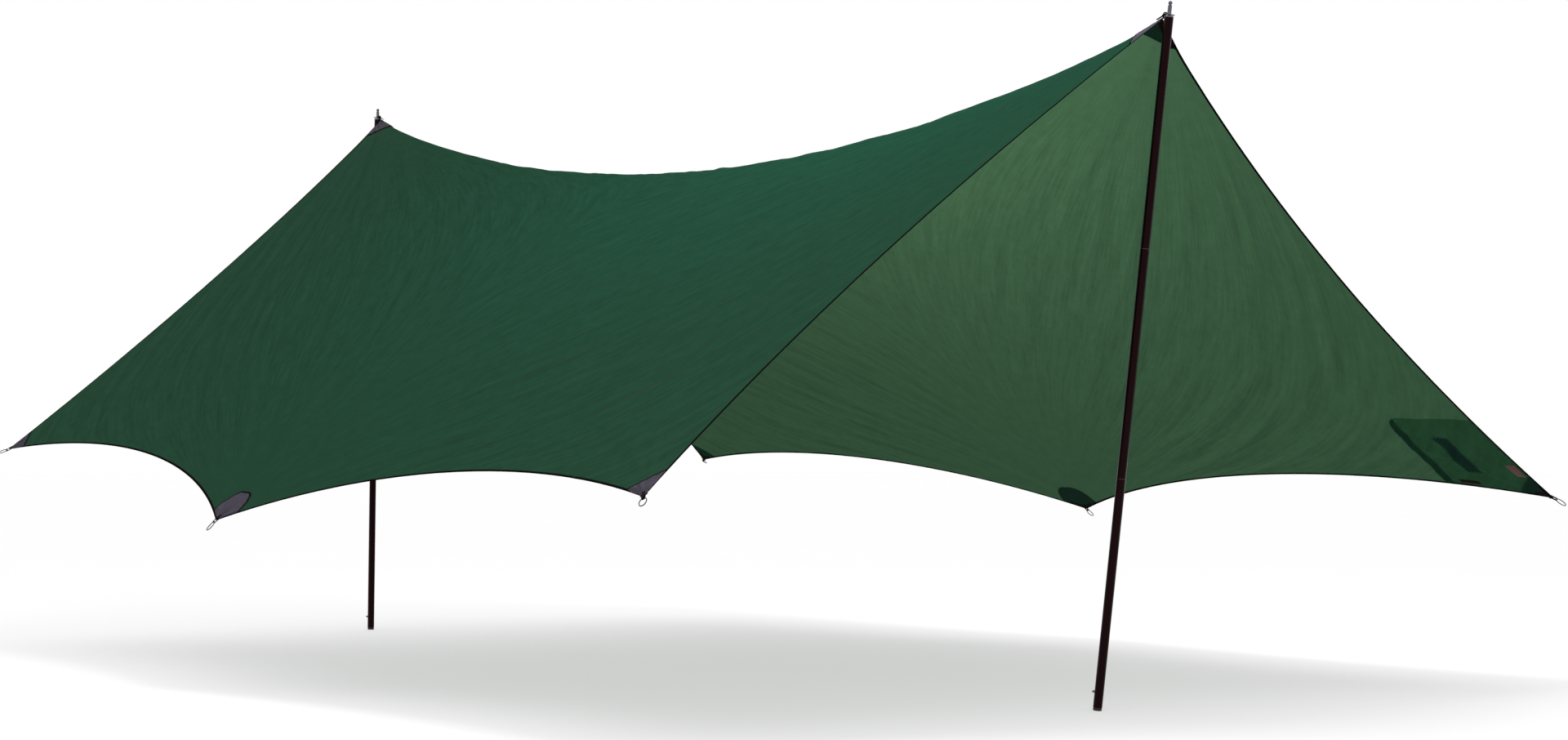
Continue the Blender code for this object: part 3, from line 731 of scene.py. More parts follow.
def tip_bands(cloth, tie, finish):
    """Webbing under the cloth, down both hems from the tip. It carries the pull."""
    length, width = PEAK_BAND if tie.kind == "peak" else TIP_BAND
    size_u, size_v = tie.patch_size
    pieces = []
    for k, angle in enumerate((0.0, tie.sweep)):
        scale = length / (size_u if abs(math.cos(angle)) > 0.5 and tie.kind != "peak" else size_v)
        u, v = patch_coordinates(tie, angle, np.linspace(0.05, 1, 30) * scale)
        u, v = np.clip(u, -1, 1), np.clip(v, -1, 1)
        edge = cloth.place(u, v)
        inward_u = -tie.u if tie.kind != "mid" and (tie.kind == "peak" or k == 1) else 0
        inward_v = -tie.v if tie.kind == "mid" or (tie.kind == "corner" and k == 0) else 0
        inner = cloth.smooth(u + inward_u * SMOOTH_STEP, v + inward_v * SMOOTH_STEP)
        step = inner - cloth.smooth(u, v)
        along = unit(np.gradient(edge, axis=0))
        inward = unit(step - along * (step * along).sum(-1, keepdims=True))
        down = -cloth.normal(u, v)
        path = edge + inward * (width / 2 + BAND_IN) + down * BAND_UNDER
        run = np.linalg.norm(np.diff(path, axis=0), axis=1).sum()
        new = np.linspace(0, 1, max(2, int(run / (WEB_RIB / 2))))
        old = np.linspace(0, 1, len(path))
        place, out, side = (np.stack([np.interp(new, old, part[:, n]) for n in range(3)], 1)
                            for part in (path, down, inward))
        name = f"{tie.name}_tip_band_{k + 1}"
        pieces.append(woven(name, place, out, side, width, BAND_THICK, 11, finish))
    return pieces


def wire_ring(tie, finish):
    """Oval ring of steel wire, its near end through the webbing loop."""
    turn = np.array(Matrix.Rotation(math.radians(RING_DROOP[tie.name]), 3, Vector(tie.side)))
    direction = turn @ tie.loop_pull
    half_length = direction * (RING_L - RING_WIRE) / 2
    half_width = tie.side * (RING_W - RING_WIRE) / 2
    angle = np.linspace(0, 2 * math.pi, RING_STEPS, endpoint=False)[:, None]
    centre = tie.eye + half_length * (1 - np.cos(angle)) + half_width * np.sin(angle)
    run = half_length * np.sin(angle) + half_width * np.cos(angle)
    up = np.cross(direction, tie.side)
    out = unit(np.cross(unit(run), up))
    around = np.linspace(0, 2 * math.pi, WIRE_STEPS, endpoint=False)
    rows = [centre + (out * math.cos(a) + up * math.sin(a)) * RING_WIRE / 2 for a in around]
    places = np.stack(rows, 1).reshape(-1, 3)
    faces = []
    for i in range(RING_STEPS):
        here, there = i * WIRE_STEPS, (i + 1) % RING_STEPS * WIRE_STEPS
        for j in range(WIRE_STEPS):
            k = (j + 1) % WIRE_STEPS
            faces.append((here + j, here + k, there + k, there + j))
    return closed(mesh_object(tie.name + "_wire_ring", places, faces, finish))


# ------------------------------------------------------------------ stow pocket

def rounded_corner(u, v):
    """Cloth coordinates of the pocket, with its mouth corner nearest the ridge rounded."""
    size_u, size_v = BAND_CORNER
    a = np.clip((POCKET_U[0] + size_u - u) / size_u, 0, 1)
    b = np.clip((POCKET_V[0] + size_v - v) / size_v, 0, 1)
    inside = (a > 0) & (b > 0)
    round_u = POCKET_U[0] + size_u - size_u * a * np.sqrt(1 - b * b / 2)
    round_v = POCKET_V[0] + size_v - size_v * b * np.sqrt(1 - a * a / 2)
    return np.where(inside, round_u, u), np.where(inside, round_v, v)


def pocket_lift(u, v):
    """The pocket bags a little between its seams, and lies flat under the hem tape."""
    along = np.clip((u - POCKET_U[0]) / (1 - POCKET_U[0]), 0, 1)
    across = np.clip((v - POCKET_V[0]) / (1 - POCKET_V[0]), 0, 1)
    edge = np.minimum(HALF_LENGTH * (1 - u), HALF_WIDTH * (1 - v))
    free = rise(4 * MM, 20 * MM, edge)
    bag = np.sin(math.pi * along) * np.sin(math.pi * across)
    crease = 0.5 + 0.5 * ripple(u * 90, v * 60, 41)
    return (CLOTH_GAP + free * (0.9 + bag * (1.2 + 1.8 * crease))) * MM


def pocket_sheet(cloth, name, u_range, v_range, height, thickness, finish, count, rounded=False):
    """A layer of the pocket: height is how far it lies above the pocket's own cloth."""
    u, v = np.meshgrid(np.linspace(*u_range, count[0]), np.linspace(*v_range, count[1]), indexing="ij")
    if rounded:
        u, v = rounded_corner(u, v)
    places = cloth.place(u, v, pocket_lift(u, v) + height)
    return thick_sheet(name, places, cloth.normal(u, v), thickness, finish)


def under_sheet(cloth, name, u_range, v_range, depth, thickness, finish):
    """A small piece sewn on the inside of the canopy."""
    u, v = np.meshgrid(np.linspace(*u_range, 24), np.linspace(*v_range, 30), indexing="ij")
    places = cloth.place(u, v, 0 * u - depth)
    return thick_sheet(name, places, -cloth.normal(u, v), thickness, finish)


# ------------------------------------------------------------------ poles

class Pole:
    """Axis of one pole, from the ring that its spike stands in down to its foot."""

    def __init__(self, name, tie):
        self.name = name
        outward = Vector((tie.pull[0], tie.pull[1], 0)).normalized()
        self.head = Vector(tie.eye) + outward * HEAD_OUT - Vector((0, 0, HEAD_DROP))
        foot = Vector(POLE_FEET[name])
        for _ in range(3):
            axis = (self.head - foot).normalized()
            foot.z = FOOT_R * math.sqrt(1 - axis.z ** 2)
        self.axis = axis
        self.length = (self.head - foot).length
        flat = BUTTON_SIDE - axis * BUTTON_SIDE.dot(axis)
        x_axis = flat.normalized()
        self.frame = Matrix((x_axis, axis.cross(x_axis), axis)).transposed().to_4x4()
        self.section = (self.length - FOOT_STICKS_OUT - JOINT_GAP) / 3
        self.lock = self.station(self.length - BUTTON_HEIGHT)
        self.foot = self.station(self.length)

    def station(self, below):
        """Frame on the axis, this far below the tube's top."""
        frame = self.frame.copy()
        frame.translation = self.head - self.axis * below
        return frame


def turned(name, profile, frame, finish, steps=64):
    """A turned piece from its half profile of (radius, height)."""
    angle = np.linspace(0, 2 * math.pi, steps, endpoint=False)
    rings = [[(r * math.cos(a), r * math.sin(a), h) for a in angle] for r, h in profile]
    faces = grid_faces(len(profile), steps, wrap=True)
    if min(r for r, _ in profile) > 0:
        last = (len(profile) - 1) * steps
        faces += [(last + k, last + (k + 1) % steps, (k + 1) % steps, k) for k in range(steps)]
    obj = mesh_object(name, [p for ring in rings for p in ring], faces, finish)
    shape = bmesh.new()
    shape.from_mesh(obj.data)
    bmesh.ops.remove_doubles(shape, verts=shape.verts, dist=MERGE / 2)
    bmesh.ops.dissolve_degenerate(shape, edges=shape.edges, dist=MERGE / 10)
    bmesh.ops.recalc_face_normals(shape, faces=shape.faces)
    bmesh.ops.transform(shape, matrix=frame, verts=shape.verts)
    shape.to_mesh(obj.data)
    shape.free()
    obj.data.shade_smooth()
    obj.data.set_sharp_from_angle(angle=CREASE_ANGLE)
    return obj


def tube_profile(outer, inner, top, bottom):
    """Tube with its cut ends eased."""
    bevel = TUBE_BEVEL
    return [(outer - bevel, top), (outer, top - bevel), (outer, bottom + bevel),
            (outer - bevel, bottom), (inner + bevel, bottom), (inner, bottom + bevel),
            (inner, top - bevel), (inner + bevel, top)]


def drill(obj, frame):
    """Cut the button's hole through one wall of a tube."""
    shape = bmesh.new()
    bmesh.ops.create_cone(shape, cap_ends=True, segments=32, radius1=BUTTON_R + JOINT_GAP,
                          radius2=BUTTON_R + JOINT_GAP, depth=2 * TUBE_R)
    sideways = Matrix.Rotation(math.pi / 2, 4, "Y")
    shift = Matrix.Translation((TUBE_R + 4 * MM, 0, 0))
    bmesh.ops.transform(shape, matrix=frame @ shift @ sideways, verts=shape.verts)
    mesh = bpy.data.meshes.new("hole")
    shape.to_mesh(mesh)
    shape.free()
    cutter = bpy.data.objects.new("hole", mesh)
    bpy.context.scene.collection.objects.link(cutter)
    hole = obj.modifiers.new("hole", "BOOLEAN")
    hole.operation = "DIFFERENCE"
    hole.solver = "EXACT"
    hole.object = cutter
    settle(obj)
    bpy.data.objects.remove(cutter)
    return obj


def settle(obj):
    """Turn a piece's live modifiers into its plain mesh."""
    bpy.context.view_layer.update()
    graph = bpy.context.evaluated_depsgraph_get()
    mesh = bpy.data.meshes.new_from_object(obj.evaluated_get(graph), depsgraph=graph)
    obj.modifiers.clear()
    obj.data = mesh
    return obj


def eased(steps):
    """Sine and cosine at even turns of a quarter circle, without its first end."""
    turns = [k / steps * math.pi / 2 for k in range(1, steps + 1)]
    return [(math.sin(turn), math.cos(turn)) for turn in turns]


def tube_section(pole, word, finishes):
    """One of the three lengths of outer tube. The lowest has the button's hole."""
    k = SECTIONS.index(word)
    profile = tube_profile(TUBE_R, TUBE_R - TUBE_WALL, -JOINT_GAP if k else 0, -pole.section)
    tube = turned(f"{pole.name}_{word}_tube_smooth", profile, pole.station(k * pole.section),
                  finishes["tube"])
    return drill(tube, pole.lock) if word == "lower" else tube


def coupler(pole, k, word, finishes):
    """Plain tube inside the joint of two lengths of outer tube."""
    outer = TUBE_R - TUBE_WALL - JOINT_GAP
    half = COUPLER_LENGTH / 2
    return turned(f"{pole.name}_{word}_coupler_smooth", tube_profile(outer, outer - TUBE_WALL, half, -half),
                  pole.station(k * pole.section), finishes["coupler"])


def inner_leg(pole, finishes):
    """Tube that slides out of the lowest section, with the same hole."""
    profile = tube_profile(LEG_R, LEG_R - LEG_WALL, FOOT_STICKS_OUT + LEG_LENGTH,
                           FOOT_STICKS_OUT + JOINT_GAP)
    return drill(turned(f"{pole.name}_leg_smooth", profile, pole.foot, finishes["tube"]), pole.lock)


def foot_cap(pole, finishes):
    """Moulded foot: a stem inside the leg, three grooves and a hollow underneath."""
    stem = LEG_R - LEG_WALL - JOINT_GAP
    stem_top = FOOT_STICKS_OUT + FOOT_STEM
    profile = [(0, stem_top), (stem - 1 * MM, stem_top), (stem, stem_top - 1 * MM), (stem, FOOT_STICKS_OUT),
               (FOOT_R - 0.6 * MM, FOOT_STICKS_OUT), (FOOT_R, FOOT_STICKS_OUT - 0.6 * MM)]
    for k in range(3):
        groove = FOOT_STICKS_OUT - (2.2 + 2.0 * k) * MM
        profile += [(FOOT_R, groove + 0.4 * MM), (FOOT_R - 0.5 * MM, groove + 0.1 * MM),
                    (FOOT_R - 0.5 * MM, groove - 0.3 * MM), (FOOT_R, groove - 0.6 * MM)]
    profile += [(FOOT_R, 0.8 * MM), (FOOT_R - 0.8 * MM, 0), (7 * MM, 0), (6 * MM, 0.8 * MM), (0, 0.8 * MM)]
    return turned(f"{pole.name}_foot_cap", profile, pole.foot, finishes["plastic"])


def end_cap(pole, finishes):
    """Turned cap on top of the tube, with a domed shoulder and a bore for the spike."""
    plug = TUBE_R - TUBE_WALL - JOINT_GAP
    bore = SPIKE_SHANK_R + JOINT_GAP
    profile = [(bore, CAP_RISE), (DOME_R - 0.6 * MM, CAP_RISE), (DOME_R + 0.4 * MM, CAP_RISE - 0.15 * MM)]
    for sine, cosine in eased(7)[:-1]:
        profile.append((DOME_R + (TUBE_R - DOME_R) * sine, CAP_EDGE + (CAP_RISE - CAP_EDGE) * cosine))
    profile += [(TUBE_R, CAP_EDGE), (TUBE_R, JOINT_GAP), (plug, JOINT_GAP), (plug, -CAP_PLUG),
                (bore, -CAP_PLUG)]
    return turned(f"{pole.name}_end_cap_turned", profile, pole.station(0), finishes["steel"])


def spike(pole, finishes):
    """Turned spike that stands in the ring: a rounded tip, a neck and a shank."""
    base = CAP_RISE + JOINT_GAP
    tip = base + SPIKE_L
    neck = tip - SPIKE_HEAD
    profile = [(0, tip)] + [(SPIKE_R * sine, tip - SPIKE_R * (1 - cosine)) for sine, cosine in eased(12)]
    profile += [(SPIKE_R, neck + 0.3 * MM), (SPIKE_R - 0.3 * MM, neck), (SPIKE_NECK_R, neck - 1 * MM),
                (SPIKE_NECK_R, neck - 4 * MM), (SPIKE_R - 0.3 * MM, neck - 4.7 * MM),
                (SPIKE_R, neck - 5 * MM), (SPIKE_R, base + 0.4 * MM), (SPIKE_R - 0.4 * MM, base),
                (SPIKE_SHANK_R, base), (SPIKE_SHANK_R, -CAP_PLUG), (0, -CAP_PLUG)]
    return turned(f"{pole.name}_spike_turned", profile, pole.station(0), finishes["steel"])


def snap_button(pole, finishes):
    """Domed button that stands through the leg and the lower tube."""
    length = TUBE_R + BUTTON_PROUD - BUTTON_BACK
    flat = 1.2 * MM
    dome = 2.0 * MM
    profile = [(0, length), (flat, length)]
    for sine, cosine in eased(7):
        profile.append((flat + (BUTTON_R - flat) * sine, length - dome * (1 - cosine)))
    profile += [(BUTTON_R, 0), (0, 0)]
    sideways = Matrix.Translation((BUTTON_BACK, 0, 0)) @ Matrix.Rotation(math.pi / 2, 4, "Y")
    return turned(f"{pole.name}_button_domed", profile, pole.lock @ sideways, finishes["steel"], steps=32)


def spring_leaf(pole, finish):
    """The folded leaf behind the snap button, copied from its CAD node and carried by the leg."""
    node = f"{pole.name}_pole_button_spring"
    solid = frame["nodes"][node]
    places = [solid.matrix_world @ corner.co for corner in solid.data.vertices]
    faces = [tuple(face.vertices) for face in solid.data.polygons]
    leaf = mesh_object(f"{pole.name}_button_spring_leaf", places, faces, finish, smooth=False)
    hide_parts(node)
    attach(leaf, f"{pole.name}_leg")
    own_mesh(leaf)
    return leaf


def stand_pole(pole, finishes):
    """All of a pole's pieces, each on its body and in place of its CAD node."""
    made = [(tube_section(pole, word, finishes), "pole", "pole_tube", word + "_tube")
            for word in SECTIONS]
    for k, word in enumerate(("upper", "lower"), 1):
        made.append((coupler(pole, k, word, finishes), "pole", "coupler_aluminium", word + "_coupler"))
    made.append((inner_leg(pole, finishes), "leg", "pole_tube", "leg"))
    made.append((foot_cap(pole, finishes), "leg", "foot_plastic", "foot"))
    made.append((end_cap(pole, finishes), "pole", "bright_steel", "end_cap"))
    made.append((spike(pole, finishes), "pole", "bright_steel", "spike"))
    made.append((snap_button(pole, finishes), "button", "bright_steel", "button"))
    for piece, body, slot, node in made:
        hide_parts(f"{pole.name}_pole_{node}")
        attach(piece, f"{pole.name}_{body}")
    spring_leaf(pole, finishes["steel"])


# ------------------------------------------------------------------ stitches

def stitch_tree():
    """Geometry nodes: a thread stitch on every point, lying along its run."""
    tree = bpy.data.node_groups.new("stitch_row", "GeometryNodeTree")
    sockets = tree.interface
    sockets.new_socket(name="Points", in_out="INPUT", socket_type="NodeSocketGeometry")
    for label in ("Stitch length", "Thread width", "Thread height"):
        sockets.new_socket(name=label, in_out="INPUT", socket_type="NodeSocketFloat")
    sockets.new_socket(name="Thread", in_out="INPUT", socket_type="NodeSocketMaterial")
    sockets.new_socket(name="Stitches", in_out="OUTPUT", socket_type="NodeSocketGeometry")
    start = add(tree, "NodeGroupInput").outputs
    bead = add(tree, "GeometryNodeMeshIcoSphere", {"Radius": 0.5, "Subdivisions": 1})
    size = add(tree, "ShaderNodeCombineXYZ", {
        "X": start["Stitch length"], "Y": start["Thread width"], "Z": start["Thread height"]})
    run = add(tree, "GeometryNodeInputNamedAttribute", {"Name": "run"}, data_type="FLOAT_VECTOR")
    out = add(tree, "GeometryNodeInputNamedAttribute", {"Name": "out"}, data_type="FLOAT_VECTOR")
    turn = add(tree, "FunctionNodeAxesToRotation", {
        "Primary Axis": out.outputs[0], "Secondary Axis": run.outputs[0]},
        primary_axis="Z", secondary_axis="X")
    laid = add(tree, "GeometryNodeInstanceOnPoints", {
        "Points": start["Points"], "Instance": bead.outputs["Mesh"],
        "Rotation": turn.outputs["Rotation"], "Scale": size.outputs["Vector"]})
    real = add(tree, "GeometryNodeRealizeInstances", {"Geometry": laid.outputs["Instances"]})
    thread = add(tree, "GeometryNodeSetMaterial", {
        "Geometry": real.outputs["Geometry"], "Material": start["Thread"]})
    add(tree, "NodeGroupOutput", {"Stitches": thread.outputs["Geometry"]})
    return tree


def stitches(name, tree, rows, finish, pitch):
    """Rows of stitches, each along a path of places with the directions out of the cloth."""
    places, runs, outs = [], [], []
    for path, out in rows:
        path, out = spaced(path, out, pitch)
        places.append(path)
        runs.append(unit(np.gradient(path, axis=0)))
        outs.append(out)
    places, runs, outs = (np.concatenate(part) for part in (places, runs, outs))
    mesh = bpy.data.meshes.new(name)
    mesh.from_pydata([tuple(p) for p in places], [], [])
    for label, vectors in (("run", runs), ("out", outs)):
        field = mesh.attributes.new(label, "FLOAT_VECTOR", "POINT")
        field.data.foreach_set("vector", vectors.astype(np.float32).ravel())
    obj = bpy.data.objects.new(name, mesh)
    bpy.context.scene.collection.objects.link(obj)
    sewing = obj.modifiers.new("sewing", "NODES")
    values = {"Stitch length": pitch * STITCH_SHARE, "Thread width": THREAD_W,
              "Thread height": THREAD_W, "Thread": finish}
    sewing.node_group = tree
    for item in tree.interface.items_tree:
        if item.item_type == "SOCKET" and item.in_out == "INPUT" and item.name in values:
            sewing[item.identifier] = values[item.name]
    settle(obj)
    obj.data.shade_smooth()
    return obj


def hem_stitch_rows(cloth):
    """A row on each face of every hem tape."""
    rows = []
    for which in HEMS:
        edge = hem_edge(cloth, which, HEM_LINES)
        for face in (1, -1):
            rows.append((edge.at(STITCH_IN * MM, face * 0.72 * MM), face * edge.out))
    return rows


def patch_stitch_rows(cloth, ties):
    """Two rows along the binding of every patch."""
    rows = []
    for tie in ties:
        angle = np.linspace(0.06, tie.sweep - 0.06, 80)
        for share in (0.960, 0.992):
            u, v = patch_coordinates(tie, angle, share + 0 * angle)
            lift = patch_lift(tie, u, v, angle, share + 0 * angle) + 0.95 * MM
            rows.append((cloth.place(u, v, lift), cloth.normal(u, v)))
    return rows


def loop_stitch_rows(ties):
    """A box and a cross of stitches through each ring's webbing."""
    rows = []
    half_w, low, high = 2.8 * MM, 9 * MM, 23 * MM
    box = [(low, -half_w), (low, half_w), (high, half_w), (high, -half_w), (low, -half_w),
           (high, half_w)]
    cross = [(low, half_w), (high, -half_w)]
    for tie in ties:
        for sign in (1, -1):
            lift = tie.normal * (LOOP_HALF_GAP + LOOP_T + 0.1 * MM) * sign
            for chain in (box, cross):
                path = [tie.root - tie.pull * back + tie.side * aside + lift for back, aside in chain]
                rows.append((path, [tie.normal * sign] * len(path)))
    return rows


def pocket_stitch_rows(cloth):
    """Two rows round the pocket, one inside its mouth tape and a box on its closure."""
    rows = []

    def row(u_ends, v_ends, height):
        u, v = rounded_corner(np.linspace(*u_ends, 200), np.linspace(*v_ends, 200))
        rows.append((cloth.place(u, v, pocket_lift(u, v) + height), cloth.normal(u, v)))

    on_tape, on_cloth = 1.25 * MM, 0.45 * MM
    first_u, first_v, last = POCKET_U[0], POCKET_V[0], 0.995
    for inset in (0.0012, 0.0034):
        row((first_u + inset,) * 2, (first_v + inset, last + inset), on_tape)
        row((first_u + inset, last + inset), (first_v + inset,) * 2, on_cloth)
    row((first_u + BAND_U - 0.0012,) * 2, (first_v + 0.004, 0.994), on_tape)
    strip_u = (STRIP_U[0] + 0.001, STRIP_U[1] - 0.001)
    strip_v = (STRIP_V[0] + 0.001, STRIP_V[1] - 0.001)
    for u in strip_u:
        row((u, u), strip_v, on_tape)
    for v in strip_v:
        row(strip_u, (v, v), on_tape)
    return rows


# ------------------------------------------------------------------ finishes

def blank_material(name):
    made = bpy.data.materials.new(name)
    made.use_nodes = True
    made.node_tree.nodes.clear()
    return made


def surface(tree, shader):
    add(tree, "ShaderNodeOutputMaterial", {"Surface": shader})


def coated_taffeta(name, front, through, strength, creases, gloss=0.009):
    """Thin cloth with a coating: a soft satin face, and daylight comes through it
    warmer than it is reflected. Fine creases run along the lines of pull; their
    shade and highlights are also painted into the tone."""
    made = blank_material(name)
    tree = made.node_tree
    lines = add(tree, "ShaderNodeAttribute", attribute_name="pull")
    stretched = add(tree, "ShaderNodeMapping", {
        "Vector": lines.outputs["Vector"], "Scale": (52, 2.6, 1)})
    folds = add(tree, "ShaderNodeTexNoise", {
        "Vector": stretched.outputs["Vector"], "Scale": 1.0, "Detail": 2.5, "Roughness": 0.55})
    reach = add(tree, "ShaderNodeAttribute", attribute_name="reach").outputs["Fac"]
    height = add(tree, "ShaderNodeMath", {0: folds.outputs["Fac"], 1: reach}, operation="MULTIPLY")
    bump = add(tree, "ShaderNodeBump", {
        "Height": height.outputs[0], "Distance": creases, "Strength": 1.0}).outputs["Normal"]
    # Painted shade and highlight: darker in the hollows of the fine creases and lighter on their crests,
    # growing with the reach.
    crease_shade_range = add(tree, "ShaderNodeMapRange", {
        "Value": folds.outputs["Fac"], "From Min": 0.34, "From Max": 0.68,
        "To Min": -0.22, "To Max": 0.32})
    painted_crease_shade = add(tree, "ShaderNodeMath", {0: crease_shade_range.outputs["Result"], 1: reach}, operation="MULTIPLY")
    # Thread thickness drifts over the bolt: patches of 20 to 60 mm, a few per cent.
    cloth_map = add(tree, "ShaderNodeUVMap", uv_map="cloth")
    cloud = add(tree, "ShaderNodeTexNoise", {
        "Vector": cloth_map.outputs["UV"], "Scale": 22.0, "Detail": 5.0, "Roughness": 0.6})
    # The tone mix carries both the random drift of the thread and the painted crease shade.
    drift_and_crease_shade = add(tree, "ShaderNodeMath", {
        0: cloud.outputs["Fac"], 1: painted_crease_shade.outputs[0]}, operation="ADD", use_clamp=True)
    tone = add(tree, "ShaderNodeMix", {
        "Factor": drift_and_crease_shade.outputs[0], "A": linear(front[0]), "B": linear(front[1])}, data_type="RGBA")
    shade = add(tree, "ShaderNodeMix", {
        "Factor": drift_and_crease_shade.outputs[0], "A": linear(through[0]), "B": linear(through[1])},
        data_type="RGBA")
    face = add(tree, "ShaderNodeBsdfPrincipled", {
        "Base Color": tone.outputs["Result"], "Roughness": 0.42, "IOR": 1.5,
        "Specular IOR Level": 0.0, "Normal": bump})
    glow = add(tree, "ShaderNodeBsdfTranslucent", {"Color": shade.outputs["Result"], "Normal": bump})
    shine = add(tree, "ShaderNodeBsdfAnisotropic", {
        "Color": (1, 1, 1, 1), "Roughness": 0.32, "Normal": bump})
    satin = add(tree, "ShaderNodeMixShader", {
        0: gloss, 1: face.outputs["BSDF"], 2: shine.outputs["BSDF"]})
    mixed = add(tree, "ShaderNodeMixShader", {
        0: strength, 1: satin.outputs["Shader"], 2: glow.outputs["BSDF"]})
    surface(tree, mixed.outputs["Shader"])
    return made


def plain_finish(name, tones, roughness, metallic=0.0, specular=0.5, grain=300.0, bumps=0.0,
                 stretch=(1, 1, 1), **extra):
    """A finish with a slight drift of tone, and a grain of the given size."""
    made = blank_material(name)
    tree = made.node_tree
    place = add(tree, "ShaderNodeTexCoord")
    spread = add(tree, "ShaderNodeMapping", {"Vector": place.outputs["Object"], "Scale": stretch})
    noise = add(tree, "ShaderNodeTexNoise", {
        "Vector": spread.outputs["Vector"], "Scale": grain, "Detail": 3.0, "Roughness": 0.6})
    tone = add(tree, "ShaderNodeMix", {
        "Factor": noise.outputs["Fac"], "A": linear(tones[0]), "B": linear(tones[1])},
        data_type="RGBA")
    values = {"Base Color": tone.outputs["Result"], "Roughness": roughness, "Metallic": metallic,
              "Specular IOR Level": specular}
    if bumps:
        bump = add(tree, "ShaderNodeBump", {"Height": noise.outputs["Fac"], "Distance": bumps})
        values["Normal"] = bump.outputs["Normal"]
    face = add(tree, "ShaderNodeBsdfPrincipled", {**values, **extra})
    surface(tree, face.outputs["BSDF"])
    return made


def make_finishes():
    finishes = {}
    # Polyester taffeta with a thin coating, forest green; half the daylight comes through.
    finishes["canopy"] = coated_taffeta(
        "forest_green_coated_taffeta", ("#062a1e", "#0c362a"), ("#2d462e", "#354f37"), 0.5, 2.4 * MM)
    # The pocket is the same cloth without most of its coating.
    finishes["pocket"] = coated_taffeta(
        "forest_green_taffeta_pocket", ("#0b3020", "#0d3423"), ("#cfe2d2", "#d6e8d9"), 0.9, 1.2 * MM)
    # The mouth tape is the same taffeta folded three times, so it holds back more light.
    finishes["mouth"] = coated_taffeta(
        "folded_taffeta_tape", ("#082419", "#0a281d"), ("#84a38a", "#8bab91"), 0.85, 0.8 * MM)
    # Nylon oxford, dyed charcoal with a purple cast; matt, and some daylight comes through.
    finishes["patch"] = coated_taffeta(
        "charcoal_nylon_oxford", ("#211c24", "#605a68"), ("#8d9a8f", "#a8b4aa"), 0.5, 2.5 * MM,
        gloss=0.0)
    # Polypropylene webbing: dull black, with a faint red cast.
    finishes["webbing"] = plain_finish(
        "black_polypropylene_webbing", ("#0e0506", "#17090b"), 0.9, specular=0.05, grain=700)
    # Ribbed tape on the hems: matt black, with no shine of its own.
    finishes["tape"] = plain_finish(
        "black_grosgrain_tape", ("#060505", "#0c090a"), 0.9, specular=0.0, grain=500)
    # Tape on the patches' inner edges: charcoal, close to black.
    finishes["binding"] = plain_finish(
        "charcoal_binding_tape", ("#0d080b", "#160e12"), 0.9, specular=0.0, grain=500)
    # Twisted polyester thread.
    finishes["thread"] = plain_finish(
        "black_polyester_thread", ("#080707", "#100e0f"), 0.8, specular=0.1, grain=900)
    # Satin label tape, left blank: a brownish pink.
    finishes["label"] = plain_finish(
        "blank_satin_label", ("#4c332f", "#583c37"), 0.6, specular=0.1, grain=400)
    # Spring wire with a black coating: dark, with a broad soft highlight.
    finishes["wire"] = plain_finish("black_coated_wire", ("#0b0b0c", "#131314"), 0.35, grain=500)
    # Extruded aluminium, anodised a very dark brown: faint draw lines along the tube.
    finishes["tube"] = plain_finish(
        "dark_brown_anodised_aluminium", ("#180c0e", "#201113"), 0.33, 1.0, grain=900,
        stretch=(1, 1, 0.02))
    # Bare drawn aluminium, with the same draw lines.
    finishes["coupler"] = plain_finish(
        "drawn_aluminium", ("#a8aaac", "#bcbec0"), 0.38, 1.0, grain=600, stretch=(1, 1, 0.05))
    # Turned and polished steel: fine rings round the piece from the cutting tool.
    finishes["steel"] = plain_finish(
        "turned_bright_steel", ("#4d4f53", "#6b6d71"), 0.14, 1.0, grain=60, stretch=(1, 1, 14))
    # Moulded nylon with a fine grain.
    finishes["plastic"] = plain_finish(
        "black_moulded_nylon", ("#0f0d0d", "#191616"), 0.5, grain=1200, bumps=0.05 * MM)
    return finishes


# ------------------------------------------------------------------ floor and light

def add_light(name, kind, energy):
    data = bpy.data.lights.new(name, kind)
    data.energy = energy
    light = bpy.data.objects.new(name, data)
    bpy.context.scene.collection.objects.link(light)
    return light


def studio():
    """A pale floor that shades to white, an even white room and two soft lights above."""
    finish = plain_finish("pale_matt_floor", ("#8e8e8e", "#919191"), 0.9, specular=0.1, grain=0.5,
                          **{"Emission Color": (1, 1, 1, 1), "Emission Strength": FLOOR_GLOW})
    corners = [(x * FLOOR_HALF, y * FLOOR_HALF, 0) for x, y in ((-1, -1), (1, -1), (1, 1), (-1, 1))]
    mesh_object("floor", corners, [(0, 1, 2, 3)], finish, smooth=False)
    world = bpy.data.worlds.new("studio_white")
    bpy.context.scene.world = world
    world.use_nodes = True
    room = world.node_tree.nodes["Background"].inputs
    room["Color"].default_value = (1, 1, 1, 1)
    room["Strength"].default_value = WORLD_LIGHT
    overhead = add_light("overhead_soft_light", "SUN", OVERHEAD_LIGHT)
    overhead.data.angle = OVERHEAD_ANGLE
    overhead.rotation_euler = Vector(OVERHEAD_FROM).to_track_quat("Z", "Y").to_euler()
    softbox = add_light("softbox", "AREA", SOFTBOX_POWER)
    softbox.data.size = SOFTBOX_SIZE
    softbox.location = SOFTBOX_PLACE
    softbox.visible_camera = False
    softbox.visible_glossy = False
    bpy.context.scene.view_settings.view_transform = "Standard"


# ------------------------------------------------------------------ the shelter

def sew_on(obj, slot, *nodes):
    """Everything sewn moves with the canopy."""
    if nodes:
        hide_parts(*nodes)
    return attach(obj, "canopy")


